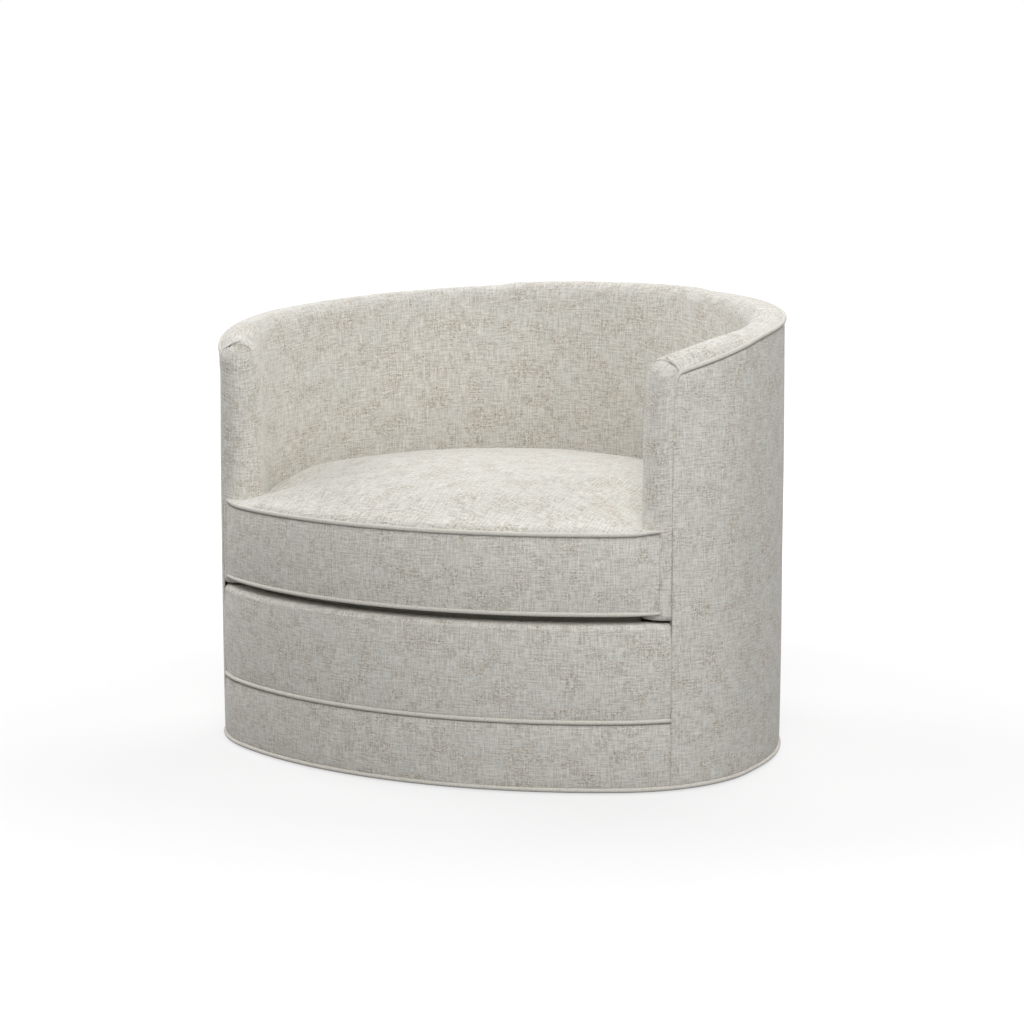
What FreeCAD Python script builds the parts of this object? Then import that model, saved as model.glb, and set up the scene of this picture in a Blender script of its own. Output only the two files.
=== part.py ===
# Upholstered swivel barrel chair. Millimetres, +Z up, the front faces -Y.
# The origin is on the floor, on the axis that the chair turns about.
import FreeCAD, Part
import math
import os

from FreeCAD import Vector

# Plan of the body: a bowed front, rounded front corners, short straight sides, a half-round back.
half_width = 457.0
front_bow = 299.0
corner_radius = 242.0
side_run = 36.0
seam_run = 79.0
wall = 65.0

# Heights above the floor.
hem_height = 6.5
band_height = 110.0
front_panel_top = 257.0
rim_height = 678.0
rim_slope = 0.085
arm_front_drop = 30.15
crown_rise = 12.0
roll_radius = 24.0

# Cloth, wadding and boards.
cloth = 2.0
wadding = 3.0
backing = 3.0
welt_radius = 3.5
welt_inset = 1.0
welt_clearance = 0.3
soft_clearance = 0.3
roll_lip = 14.0
corner_stations = 7
back_stations = 10
front_edge_radius = 9.0
front_return = 35.0

# Timber frame.
frame_clearance = 0.3
post_width = 45.0
rail_thickness = 22.0
front_rail_thickness = 25.0
seat_rail_cover = 11.0
seat_rail_height = 96.0
top_rail_depth = 40.0
top_rail_drop = 35.0
arm_post_end_room = 5.2
back_post_angle = 45.0
inside_backing_thickness = 2.0
platform_thickness = 18.0
platform_hole_radius = 30.0
plinth_bottom = 10.0
plinth_thickness = 18.0
plinth_width = 50.0
plinth_block_length = 60.0
plinth_block_width = 40.0
plinth_block_count = 8
side_rail_run = 181.0
dust_cloth = 1.0
dust_hole_room = 25.0
dust_block_gap = 1.0
wood_screw_radius = 2.5
wood_screw_head_radius = 5.0
wood_screw_depth = 40.0
rail_screw_length = 36.0
rail_screw_spacing = 44.0
rail_lap = 79.0

# Standing base and swivel.
glide_radius = 14.0
glide_height = 6.0
glide_count = 8
base_clearance = 38.0
base_ring_width = 75.0
base_ring_thickness = 18.0
bar_width = 60.0
bar_height = 24.0
bar_end_inset = 5.0
lap_clearance = 0.2
base_screw_edge = 10.5
plate_thickness = 3.0
race_radius = 58.0
lower_plate_rim = 27.0
upper_plate_overhang = 30.0
ball_radius = 4.0
ball_count = 20
groove_depth = 1.5
running_clearance = 0.05
cage_thickness = 2.4
cage_width = 15.0
rivet_radius = 6.0
rivet_head_radius = 12.0
rivet_head_height = 3.0
rivet_recess_clearance = 1.0
bush_wall = 3.0
bush_flange = 1.0
plate_screw_edge = 11.0
plate_screw_head_radius = 4.5
plate_screw_head_height = 2.5
plate_bolt_edge = 15.0
plate_bolt_radius = 3.0
plate_bolt_head_radius = 6.0
plate_bolt_head_height = 3.5

# Springs and deck.
spring_wire_radius = 1.9
spring_pitch = 22.0
spring_half_width = 24.0
spring_spacing = 96.0
spring_side_room = 140.0
tie_wire_radius = 1.5
tie_wire_places = (-60.0, 100.0)
clip_width = 18.0
clip_height = 9.0
clip_reach = 9.0
felt_thickness = 3.0
deck_rise = 12.0

# Loose seat cushion.
cushion_gap = 4.0
cushion_front_inset = 3.0
cushion_tip_radius = 6.0
cushion_lift_clearance = 0.5
welt_seat = 0.5
panel_clearance = 0.2
cushion_rise = 123.0
cushion_crown = 82.0
crown_power = 2.2
crown_corner_offset = 112.0
crown_corner_radius = 110.0
crown_centre_offset = 31.0
crown_steps = (1.0, 0.94, 0.85, 0.7, 0.5, 0.28, 0.1)
zip_half_angle = 50.0
zip_height = 12.0
zip_thickness = 1.5
slider_length = 12.0
slider_thickness = 2.4
slider_margin = 1.0
tab_thickness = 1.2
tab_length = 14.0

# Values that follow from the sizes above.
front_width = half_width - corner_radius
front_radius = (front_width ** 2 + front_bow ** 2 - corner_radius ** 2) / (2 * (front_bow - corner_radius))
plan_depth = front_bow + side_run + half_width
widest_y = front_bow - plan_depth / 2
back_y = widest_y + side_run
front_centre = Vector(0, widest_y - front_bow + front_radius, 0)
corner_centre = Vector(front_width, widest_y, 0)
back_centre = Vector(0, back_y, 0)
bow_end_angle = -math.degrees(math.atan2(front_radius - front_bow, front_width))
seam_angle = bow_end_angle + math.degrees(seam_run / corner_radius)
rim_tilt = math.atan(rim_slope)
arm_reach = -(widest_y + corner_radius * math.sin(math.radians(seam_angle)))
rim_front_radius = (arm_reach ** 2 + (rim_slope * arm_reach + arm_front_drop) ** 2) / (
    2 * arm_front_drop * math.cos(rim_tilt))
lining = cloth + wadding + backing
pad_inset = lining + front_rail_thickness
inner_frame = pad_inset + rail_thickness
post_bow = post_width ** 2 / (8 * (corner_radius - lining))
post_inset = lining + post_bow + frame_clearance
post_depth = pad_inset - frame_clearance - post_inset
arm_post_angle = seam_angle + math.degrees((post_width / 2 + arm_post_end_room) / (corner_radius - pad_inset))
seat_rail_top = front_panel_top - seat_rail_cover
seat_rail_bottom = seat_rail_top - seat_rail_height
far = 2 * half_width
quarter = 90.0
steep = 0.5
near = 0.5
tiny = 1e-9
small_turn = 0.01

base_ring_outer = plan_depth / 2 - lining - plinth_width - base_clearance
base_ring_inner = base_ring_outer - base_ring_width
bar_length = 2 * (base_ring_outer - bar_end_inset)
base_screw_offset = bar_width / 2 - base_screw_edge
lower_plate_radius = race_radius + lower_plate_rim
upper_plate_radius = lower_plate_radius + upper_plate_overhang
plate_screw_circle = lower_plate_radius - plate_screw_edge
plate_bolt_circle = upper_plate_radius - plate_bolt_edge
rivet_recess_radius = rivet_head_radius + rivet_recess_clearance
dust_hole_radius = upper_plate_radius + dust_hole_room

base_ring_bottom = glide_height
bar_bottom = base_ring_bottom + base_ring_thickness
lower_plate_bottom = bar_bottom + bar_height
lower_plate_top = lower_plate_bottom + plate_thickness
ball_height = lower_plate_top + ball_radius - groove_depth
upper_plate_bottom = ball_height + ball_radius - groove_depth
platform_bottom = upper_plate_bottom + plate_thickness
platform_top = platform_bottom + platform_thickness
spring_height = seat_rail_top - 2 * tie_wire_radius - spring_wire_radius
felt_bottom = seat_rail_top + running_clearance
deck_top = front_panel_top + deck_rise
spring_count = 1 + int(2 * (half_width - inner_frame - spring_side_room) / spring_spacing)

cushion_side = half_width - wall - cushion_gap
panel_edge = welt_seat + welt_radius + panel_clearance
core_edge = cloth + soft_clearance
cushion_bottom = deck_top + cushion_lift_clearance
cushion_top_welt_height = deck_top + cushion_rise
crown_corner_line = widest_y - crown_corner_offset
crown_centre_y = back_y + crown_centre_offset
cushion_bottom_welt_height = cushion_bottom + welt_radius
boxing_bottom = cushion_bottom_welt_height + welt_radius + welt_clearance
boxing_top = cushion_top_welt_height - welt_radius - welt_clearance
zip_middle = (boxing_bottom + boxing_top) / 2


def up(height):
    return Vector(0, 0, height)


def polar(centre, radius, angle):
    turn = math.radians(angle)
    return centre + Vector(radius * math.cos(turn), radius * math.sin(turn), 0)


def arc(centre, radius, start, end):
    circle = Part.Circle(centre, Vector(0, 0, 1), radius)
    return Part.ArcOfCircle(circle, math.radians(start), math.radians(end)).toShape()


def line(start, end):
    return Part.makeLine(start, end)


def mirrored(shape):
    return shape.mirror(Vector(0, 0, 0), Vector(1, 0, 0))


def both_sides(edges):
    return edges + [mirrored(edge) for edge in edges]


def joined(edges):
    return Part.Wire(Part.__sortEdges__(edges))


def prism(wire, bottom, top):
    return Part.Face(wire).extrude(up(top - bottom)).translated(up(bottom))


def fused(solids):
    return solids[0].multiFuse(solids[1:]).removeSplitter() if len(solids) > 1 else solids[0]


def body_edges(inset, corner_start):
    """Right half of the plan behind the front arc, drawn in by inset."""
    side = half_width - inset
    return [
        arc(corner_centre, corner_radius - inset, corner_start, 0),
        line(Vector(side, widest_y, 0), Vector(side, back_y, 0)),
        arc(back_centre, side, 0, quarter),
    ]


def heading_of(vector):
    return math.degrees(math.atan2(vector.y, vector.x))


def front_edges(inset, corner_end):
    """Right half of the front: the bow, then the rounded corner as far as corner_end."""
    return [
        arc(front_centre, front_radius - inset, -quarter, bow_end_angle),
        arc(corner_centre, corner_radius - inset, bow_end_angle, corner_end),
    ]


def outline(inset):
    """Closed plan of the body, drawn in by inset."""
    return joined(both_sides(front_edges(inset, seam_angle) + body_edges(inset, seam_angle)))


def ring(outer_inset, inner_inset, bottom, top):
    return prism(outline(outer_inset), bottom, top).cut(prism(outline(inner_inset), bottom, top))


def front_zone(angle, bottom, top):
    """Everything in front of the two radial planes at angle on the rounded corners."""
    right = polar(corner_centre, far, angle)
    points = [corner_centre, right, Vector(right.x, -far, 0), Vector(-right.x, -far, 0),
              Vector(-right.x, right.y, 0), Vector(-corner_centre.x, corner_centre.y, 0), corner_centre]
    return prism(Part.makePolygon(points), bottom, top)


def front_part(outer_inset, inner_inset, bottom, top, angle=seam_angle):
    return ring(outer_inset, inner_inset, bottom, top).common(front_zone(angle, bottom, top))


def rear_part(outer_inset, inner_inset, bottom, top, angle=seam_angle):
    return ring(outer_inset, inner_inset, bottom, top).cut(front_zone(angle, bottom, top))


def rim_at(y):
    """Height of the outer rim: a gentle slope that rounds down towards the arm fronts."""
    if y >= 0:
        return rim_height + rim_slope * y
    centre_y = rim_front_radius * math.sin(rim_tilt)
    centre_z = rim_height - rim_front_radius * math.cos(rim_tilt)
    return centre_z + math.sqrt(rim_front_radius ** 2 - (y - centre_y) ** 2)


def under_rim(drop):
    """Everything lower than the rim line, less drop."""
    def at(y):
        return Vector(-far, y, rim_at(y) - drop)

    bend = Part.Arc(at(-half_width), at(-half_width / 2), at(0)).toShape()
    foot = [Vector(-far, far, -far), Vector(-far, -half_width, -far)]
    sides = [line(at(0), at(far)), line(at(far), foot[0]), line(*foot), line(foot[1], at(-half_width))]
    return Part.Face(joined([bend] + sides)).extrude(Vector(2 * far, 0, 0))


def cap_centre(outer_inset, inner_inset):
    return polar(corner_centre, corner_radius - (outer_inset + inner_inset) / 2, seam_angle)


def wall_plan(outer_inset, inner_inset):
    """Plan of the arms and back, with a half-round end on each arm."""
    centre = cap_centre(outer_inset, inner_inset)
    radius = (inner_inset - outer_inset) / 2
    middle = seam_angle - quarter
    cap = [arc(centre, radius, middle - quarter, middle), arc(centre, radius, middle, seam_angle)]
    return joined(both_sides(body_edges(outer_inset, seam_angle) + body_edges(inner_inset, seam_angle) + cap))


def rounded_wall(outer_inset, inner_inset, bottom, rise, radius):
    """Arms and back up to rise above the rim line, with both top edges rounded."""
    top = rim_at(half_width) + crown_rise + far
    solid = prism(wall_plan(outer_inset, inner_inset), bottom, top).common(under_rim(-rise))
    crests = [face for face in solid.Faces if face.normalAt(0, 0).z > steep]
    edges = [edge for face in crests for edge in face.OuterWire.Edges]
    lone = [edge for edge in edges if sum(edge.isSame(other) for other in edges) == 1]
    return solid.makeFillet(radius, lone)


def seat_outline(front_inset, gap, tip_radius):
    """Plan of what lies between the arms: it fills the inner wall and turns in front of the arm ends."""
    cap = cap_centre(cloth, wall)
    cap_radius = (wall - cloth) / 2 + gap
    span = corner_radius - (wall + cloth) / 2
    reach = corner_radius - front_inset - tip_radius
    along = (reach ** 2 - (cap_radius + tip_radius) ** 2 + span ** 2) / (2 * span)
    aside = math.sqrt(reach ** 2 - along ** 2)
    tip = polar(polar(corner_centre, along, seam_angle), aside, seam_angle - quarter)
    tip_angle = heading_of(tip - corner_centre)
    to_cap = heading_of(cap - tip)
    edges = front_edges(front_inset, tip_angle) + [
        arc(tip, tip_radius, tip_angle, to_cap),
        arc(cap, cap_radius, seam_angle - 2 * quarter, to_cap - 2 * quarter),
    ]
    return joined(both_sides(edges + body_edges(wall + gap, seam_angle)))


def seat_prism(front_inset, gap, tip_radius, bottom, top):
    return prism(seat_outline(front_inset, gap, tip_radius), bottom, top)


def tube(path, radius, start, direction):
    profile = Part.Wire(Part.Circle(start, direction, radius).toShape())
    return path.makePipeShell([profile], True, False)


def flat_tube(path, radius):
    """Round bead along a level path."""
    edge = path.OrderedEdges[0]
    start = edge.valueAt(edge.FirstParameter)
    return tube(path, radius, start, edge.tangentAt(edge.FirstParameter))


def cylinder(radius, bottom, top, x=0.0, y=0.0):
    return Part.makeCylinder(radius, top - bottom, Vector(x, y, bottom))


def disc_ring(outer, inner, bottom, top):
    return cylinder(outer, bottom, top).cut(cylinder(inner, bottom, top))


def around(count, radius, offset=0.0):
    """Evenly spaced places on a circle about the turning axis."""
    return [polar(Vector(), radius, offset + 360 * index / count) for index in range(count)]


def group(solids):
    return Part.makeCompound(solids)


def make_floor_glides():
    middle = (base_ring_outer + base_ring_inner) / 2
    return group([cylinder(glide_radius, 0, glide_height, place.x, place.y)
                  for place in around(glide_count, middle)])


def base_screw_places():
    middle = (base_ring_outer + base_ring_inner) / 2
    places = []
    for place in around(4, middle):
        sideways = Vector(-place.y, place.x, 0).normalize() * base_screw_offset
        places += [place + sideways, place - sideways]
    return places


def make_base_screws(extra=0.0):
    radius = wood_screw_radius + extra
    bottom = base_ring_bottom
    top = bar_bottom + bar_height / 2 - lap_clearance
    head = wood_screw_head_radius
    solids = []
    for place in base_screw_places():
        shank = cylinder(radius, bottom, top, place.x, place.y)
        cone = Part.makeCone(head + extra, radius, head / 2, Vector(place.x, place.y, bottom))
        solids.append(shank.fuse(cone).removeSplitter())
    return group(solids)


def make_base_ring():
    ring_board = disc_ring(base_ring_outer, base_ring_inner, base_ring_bottom, bar_bottom)
    return ring_board.cut(make_base_screws(running_clearance))


def make_bar(turned):
    """One of two bars that cross in a half lap; the turned one keeps its upper half there."""
    bar = Part.makeBox(bar_length, bar_width, bar_height,
                       Vector(-bar_length / 2, -bar_width / 2, bar_bottom))
    notch_side = bar_width + lap_clearance
    level = bar_bottom + bar_height / 2
    notch_bottom = bar_bottom if turned else level - lap_clearance / 2
    notch_height = bar_height / 2 + lap_clearance / 2
    notch = Part.makeBox(notch_side, bar_width, notch_height,
                         Vector(-notch_side / 2, -bar_width / 2, notch_bottom))
    bar = bar.cut(notch)
    if turned:
        bar.rotate(Vector(), Vector(0, 0, 1), quarter)
    recess = cylinder(rivet_recess_radius, bar_bottom, lower_plate_bottom)
    holes = [make_base_screws(running_clearance), make_lower_plate_screws(running_clearance), recess]
    return bar.cut(group(holes))


def make_lower_plate_screws(extra=0.0):
    solids = []
    for place in around(4, plate_screw_circle):
        shank = cylinder(wood_screw_radius + extra, lower_plate_top - bar_height / 2, lower_plate_top,
                         place.x, place.y)
        head = cylinder(plate_screw_head_radius, lower_plate_top,
                        lower_plate_top + plate_screw_head_height, place.x, place.y)
        solids.append(shank.fuse(head).removeSplitter())
    return group(solids)


def race_groove():
    return Part.makeTorus(race_radius, ball_radius + running_clearance, up(ball_height))


def make_lower_swivel_plate():
    plate = disc_ring(lower_plate_radius, rivet_radius, lower_plate_bottom, lower_plate_top)
    return plate.cut(group([race_groove(), make_lower_plate_screws()]))


def make_swivel_rivet():
    flange_top = platform_bottom + bush_flange + running_clearance
    shank = cylinder(rivet_radius, lower_plate_bottom, flange_top)
    foot = cylinder(rivet_head_radius, lower_plate_bottom - rivet_head_height, lower_plate_bottom)
    head = cylinder(rivet_head_radius, flange_top, flange_top + rivet_head_height)
    return fused([foot, shank, head])


def make_ball_cage():
    half = cage_thickness / 2
    cage = disc_ring(race_radius + cage_width / 2, race_radius - cage_width / 2,
                     ball_height - half, ball_height + half)
    pockets = [Part.makeSphere(ball_radius + running_clearance, place + up(ball_height))
               for place in around(ball_count, race_radius)]
    return cage.cut(group(pockets))


def make_race_balls():
    return group([Part.makeSphere(ball_radius, place + up(ball_height))
                  for place in around(ball_count, race_radius)])


def make_upper_swivel_plate():
    hole = rivet_radius + bush_wall
    plate = disc_ring(upper_plate_radius, hole, upper_plate_bottom, platform_bottom)
    bolts = [cylinder(plate_bolt_radius, upper_plate_bottom, platform_bottom, place.x, place.y)
             for place in around(4, plate_bolt_circle, quarter / 2)]
    return plate.cut(group([race_groove()] + bolts))


def make_upper_plate_bolts():
    solids = []
    for place in around(4, plate_bolt_circle, quarter / 2):
        head = cylinder(plate_bolt_head_radius, upper_plate_bottom - plate_bolt_head_height,
                        upper_plate_bottom, place.x, place.y)
        shank = cylinder(plate_bolt_radius, upper_plate_bottom, platform_top, place.x, place.y)
        solids.append(head.fuse(shank).removeSplitter())
    return group(solids)


def make_swivel_bush():
    inner = rivet_radius + running_clearance
    outer = rivet_radius + bush_wall
    flange = disc_ring(rivet_head_radius, inner, platform_bottom, platform_bottom + bush_flange)
    return disc_ring(outer, inner, upper_plate_bottom, platform_bottom).fuse(flange).removeSplitter()


def block_frame(index):
    """Place and heading of one plinth block, at an even step round the plan."""
    path = outline(lining + plinth_width / 2)
    marks = path.discretize(Number=2 * plinth_block_count + 1)[:-1]
    return marks[2 * index], heading_of(marks[2 * index + 1] - marks[2 * index - 1])


def turned_box(length, width, bottom, top, place, heading):
    box = Part.makeBox(length, width, top - bottom, Vector(-length / 2, -width / 2, bottom))
    box.rotate(Vector(), Vector(0, 0, 1), heading)
    return box.translated(Vector(place.x, place.y, 0))


def make_plinth_blocks():
    bottom = plinth_bottom + plinth_thickness
    return group([turned_box(plinth_block_length, plinth_block_width, bottom, platform_bottom,
                             *block_frame(index)) for index in range(plinth_block_count)])


def make_plinth_ring():
    """Four boards that meet end to end in a ring."""
    whole = ring(lining, lining + plinth_width, plinth_bottom, plinth_bottom + plinth_thickness)
    corners = [Vector(x, y, 0) for x in (-far, 0) for y in (-far, 0)]
    return group([largest(whole.common(Part.makeBox(far, far, far, corner))) for corner in corners])


def make_platform_board():
    board = prism(outline(lining), platform_bottom, platform_top)
    holes = [cylinder(platform_hole_radius, platform_bottom, platform_top)]
    holes += [cylinder(plate_bolt_radius, platform_bottom, platform_top, place.x, place.y)
              for place in around(4, plate_bolt_circle, quarter / 2)]
    return board.cut(group(holes + [make_post_screws()]))


def make_dust_cover():
    inset = lining + plinth_width + soft_clearance
    cloth_sheet = prism(outline(inset), platform_bottom - dust_cloth, platform_bottom)
    blocks = [turned_box(plinth_block_length + 2 * dust_block_gap, plinth_block_width + 2 * dust_block_gap,
                         0, platform_bottom, *block_frame(index)) for index in range(plinth_block_count)]
    hole = cylinder(dust_hole_radius, 0, platform_bottom)
    return cloth_sheet.cut(group(blocks + [hole]))


def post_places():
    """Name, place and heading of every post; the heading points out of the chair."""
    depth = post_inset + post_depth / 2
    places = {}
    for side, sign in (("right", 1), ("left", -1)):
        arm = polar(corner_centre, corner_radius - depth, arm_post_angle)
        back = polar(back_centre, half_width - depth, back_post_angle)
        middle = Vector(half_width - depth, (widest_y + back_y) / 2, 0)
        for name, place, angle in (("arm_front", arm, arm_post_angle), ("side", middle, 0),
                                   ("back", back, back_post_angle)):
            heading = angle if sign > 0 else 2 * quarter - angle
            places[name + "_post_" + side] = (Vector(sign * place.x, place.y, 0), heading)
    places["back_post_centre"] = (polar(back_centre, half_width - depth, quarter), quarter)
    return places


def make_post(name):
    place, heading = post_places()[name]
    post = turned_box(post_depth, post_width, platform_top, rim_at(far), place, heading)
    post = post.common(under_rim(top_rail_drop + top_rail_depth))
    return post.cut(group([make_post_screws(), make_rail_screws()]))


def make_post_screws():
    """One screw up through the platform into the foot of each post."""
    return group([cylinder(wood_screw_radius, platform_bottom, platform_bottom + wood_screw_depth,
                           place.x, place.y) for place, heading in post_places().values()])


def make_rail_screws():
    """Screws that go inwards through each post into the seat rail behind it."""
    middle = (seat_rail_bottom + seat_rail_top) / 2
    solids = []
    for place, heading in post_places().values():
        outward = polar(Vector(), 1, heading)
        start = place + outward * (post_depth / 2) + up(middle)
        for level in (-rail_screw_spacing / 2, rail_screw_spacing / 2):
            solids.append(Part.makeCylinder(wood_screw_radius, rail_screw_length, start + up(level),
                                            outward * -1))
    return group(solids)


def post_end_angle(clearance):
    """Direction on the rounded corner where the arm front post ends, plus clearance."""
    return arm_post_angle - math.degrees((post_width / 2 + clearance) / (corner_radius - pad_inset))


def make_front_seat_rail():
    return front_part(lining, pad_inset, seat_rail_bottom, seat_rail_top, post_end_angle(frame_clearance))


def rail_band():
    """Seat rails inside the posts; their ends lap behind the front rail."""
    lap_angle = post_end_angle(0) - math.degrees(rail_lap / (corner_radius - pad_inset))
    band = rear_part(pad_inset, inner_frame, seat_rail_bottom, seat_rail_top, lap_angle)
    return band.cut(make_rail_screws())


def split_box(sign):
    low = 0 if sign > 0 else -far
    return Part.makeBox(far, far + back_y + side_rail_run, far, Vector(low, -far, 0))


def make_side_seat_rail(sign):
    return rail_band().common(split_box(sign))


def make_back_seat_rail():
    return rail_band().cut(split_box(1)).cut(split_box(-1))


def make_top_rail():
    rail = rear_part(lining, pad_inset, seat_rail_top, rim_at(far), post_end_angle(0))
    return rail.common(under_rim(top_rail_drop)).cut(under_rim(top_rail_drop + top_rail_depth))


def inner_front_y(x):
    """Inner face of the front seat rail at x."""
    reach = front_radius - pad_inset
    return front_centre.y - math.sqrt(reach ** 2 - x ** 2)


def inner_back_y(x):
    """Inner face of the back seat rail at x."""
    reach = half_width - inner_frame
    return back_y + math.sqrt(reach ** 2 - x ** 2)


def inner_end_y(sign, x):
    return inner_back_y(x) if sign > 0 else inner_front_y(x)


def spring_places():
    first = -spring_spacing * (spring_count - 1) / 2
    return [first + spring_spacing * index for index in range(spring_count)]


def spring_run(x):
    """Front and back ends of a spring, with a whole number of loops between them."""
    side = abs(x) + spring_half_width
    front = inner_front_y(side) + clip_reach / 2
    back = inner_back_y(side) - clip_reach / 2
    loops = round((back - front) / spring_pitch)
    return front, (back - front) / loops, loops


def make_seat_spring(x):
    """Zigzag wire: straight cross runs joined by half turns."""
    front, pitch, loops = spring_run(x)
    turn = pitch / 2
    half = spring_half_width - turn
    edges = []
    for index in range(loops + 1):
        y = front + pitch * index
        edges.append(line(Vector(x - half, y, spring_height), Vector(x + half, y, spring_height)))
        if index < loops:
            centre = Vector(x + (half if index % 2 == 0 else -half), y + turn, spring_height)
            start = -quarter if index % 2 == 0 else quarter
            edges.append(arc(centre, turn, start, start + 2 * quarter))
    path = joined(edges)
    start = Vector(x - half, front, spring_height)
    return tube(path, spring_wire_radius, start, Vector(1, 0, 0))


def make_seat_springs():
    return group([make_seat_spring(x) for x in spring_places()])


def make_spring_clips():
    """Steel clips on the rails' inner faces that hold the end runs of the springs."""
    solids = []
    rails = group([make_front_seat_rail(), make_back_seat_rail()])
    for x in spring_places():
        front, pitch, loops = spring_run(x)
        for end, sign in ((front, -1), (front + pitch * loops, 1)):
            wire = Part.makeCylinder(spring_wire_radius + running_clearance, clip_width,
                                     Vector(x - clip_width / 2, end, spring_height), Vector(1, 0, 0))
            depth = abs(inner_end_y(sign, x) - end) + clip_reach
            low = end - depth + clip_reach / 2 if sign < 0 else end - clip_reach / 2
            block = Part.makeBox(clip_width, depth, clip_height,
                                 Vector(x - clip_width / 2, low, spring_height - clip_height / 2))
            solids.append(largest(block.cut(rails).cut(wire)))
    return group(solids)


def largest(shape):
    return max(shape.Solids, key=lambda solid: solid.Volume)


def make_tie_wires():
    """Cross wires that tie the springs together, from side rail to side rail."""
    level = spring_height + spring_wire_radius + tie_wire_radius
    solids = []
    for place in tie_wire_places:
        y = back_y + place
        beyond = abs(y - (widest_y if y < widest_y else back_y)) + tie_wire_radius
        if y < widest_y:
            reach = front_width + math.sqrt((corner_radius - inner_frame) ** 2 - beyond ** 2)
        else:
            reach = math.sqrt((half_width - inner_frame) ** 2 - beyond ** 2)
        solids.append(Part.makeCylinder(tie_wire_radius, 2 * reach, Vector(-reach, y, level),
                                        Vector(1, 0, 0)))
    return group(solids)


def deck_layer(bottom, top):
    return seat_prism(front_return + soft_clearance, soft_clearance, cushion_tip_radius, bottom, top)


def make_spring_felt():
    return deck_layer(felt_bottom, felt_bottom + felt_thickness)


def make_deck_foam():
    return deck_layer(felt_bottom + felt_thickness, deck_top - cloth)


def make_deck_cover():
    return deck_layer(deck_top - cloth, deck_top)


def lining_zone():
    """Room for the cloth, wadding and board of the outside, below the lip of the roll."""
    return rear_part(0, lining, plinth_bottom, rim_at(far)).common(under_rim(roll_lip - soft_clearance))


def pad_shell(depth):
    """Upholstered arms and back, taken in by depth under the surface."""
    shell = rounded_wall(cloth + depth, wall - depth, seat_rail_top, crown_rise - depth, roll_radius - depth)
    return shell.cut(lining_zone())


def make_inside_cover():
    return pad_shell(0).cut(pad_shell(cloth))


def make_inside_foam():
    inner = pad_inset + inside_backing_thickness + soft_clearance
    frame_room = rear_part(0, inner, seat_rail_top, rim_at(far), post_end_angle(soft_clearance))
    return pad_shell(cloth).cut(frame_room.common(under_rim(top_rail_drop - soft_clearance)))


def make_inside_backing():
    inner = pad_inset + inside_backing_thickness
    board = rear_part(pad_inset, inner, seat_rail_top, rim_at(far), arm_post_angle)
    return board.common(under_rim(top_rail_drop))


def outside_layer(outer, inner, bottom, drop):
    return rear_part(outer, inner, bottom, rim_at(far)).common(under_rim(drop))


def make_outside_cover():
    return outside_layer(0, cloth, hem_height + welt_radius + welt_clearance, 0)


def make_outside_wadding():
    return outside_layer(cloth, cloth + wadding, hem_height + welt_radius + welt_clearance, roll_lip)


def make_outside_backing():
    return outside_layer(cloth + wadding, lining, plinth_bottom, roll_lip)


def make_front_backing():
    return front_part(cloth + wadding, lining, plinth_bottom, seat_rail_top)


def arm_ends(clearance):
    """The round columns that the arm ends stand on."""
    place = cap_centre(cloth, wall)
    radius = (wall - cloth) / 2 + clearance
    right = cylinder(radius, seat_rail_top, rim_height, place.x, place.y)
    return group([right, mirrored(right)])


def plan_inset(point):
    """How far a point lies inside the outline of the body."""
    if point.y >= back_y:
        return half_width - math.hypot(point.x, point.y - back_y)
    if point.y >= widest_y:
        return half_width - abs(point.x)
    on_corner = abs(point.x) * (front_centre.y - widest_y) > front_width * (front_centre.y - point.y)
    if on_corner:
        return corner_radius - math.hypot(abs(point.x) - front_width, point.y - widest_y)
    return front_radius - math.hypot(point.x, point.y - front_centre.y)


def middle_of(edge):
    return edge.valueAt((edge.FirstParameter + edge.LastParameter) / 2)


def outer_crest(solid, inset):
    """Top edges of a solid that run along the outline at inset."""
    top = solid.BoundBox.ZMax - near
    return [edge for edge in solid.Edges
            if edge.BoundBox.ZMin > top and abs(plan_inset(middle_of(edge)) - inset) < near]


def front_shell(depth):
    """Front panel and its return over the seat rail, with a rounded edge, taken in by depth."""
    bottom = band_height + welt_radius + welt_clearance
    shell = front_part(depth, front_return, bottom, front_panel_top - depth)
    return shell.makeFillet(front_edge_radius - depth, outer_crest(shell, depth))


def make_front_cover():
    return front_shell(0).cut(front_shell(cloth)).cut(arm_ends(soft_clearance))


def make_front_wadding():
    bottom = band_height + welt_radius + welt_clearance
    rail_room = front_part(cloth + wadding, front_return, bottom, seat_rail_top)
    return front_shell(cloth).cut(rail_room).cut(arm_ends(cloth))


def band_layer(outer, inner):
    gap = welt_radius + welt_clearance
    return front_part(outer, inner, hem_height + gap, band_height - gap)


def make_band_cover():
    return band_layer(0, cloth)


def make_band_wadding():
    return band_layer(cloth, cloth + wadding)


def make_hem_welt():
    return flat_tube(outline(welt_inset).translated(up(hem_height)), welt_radius)


def make_band_welt():
    path = joined(both_sides(front_edges(welt_inset, seam_angle)))
    return flat_tube(path.translated(up(band_height)), welt_radius)


def rim_station(centre, radius, angle):
    """Point and heading of the rim welt where it stands at angle about centre."""
    point = polar(centre, radius, angle)
    ahead = polar(centre, radius, angle + small_turn)
    level = welt_radius + welt_clearance
    point.z = rim_at(point.y) + level
    ahead.z = rim_at(ahead.y) + level
    return point, (ahead - point).normalize()


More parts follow.
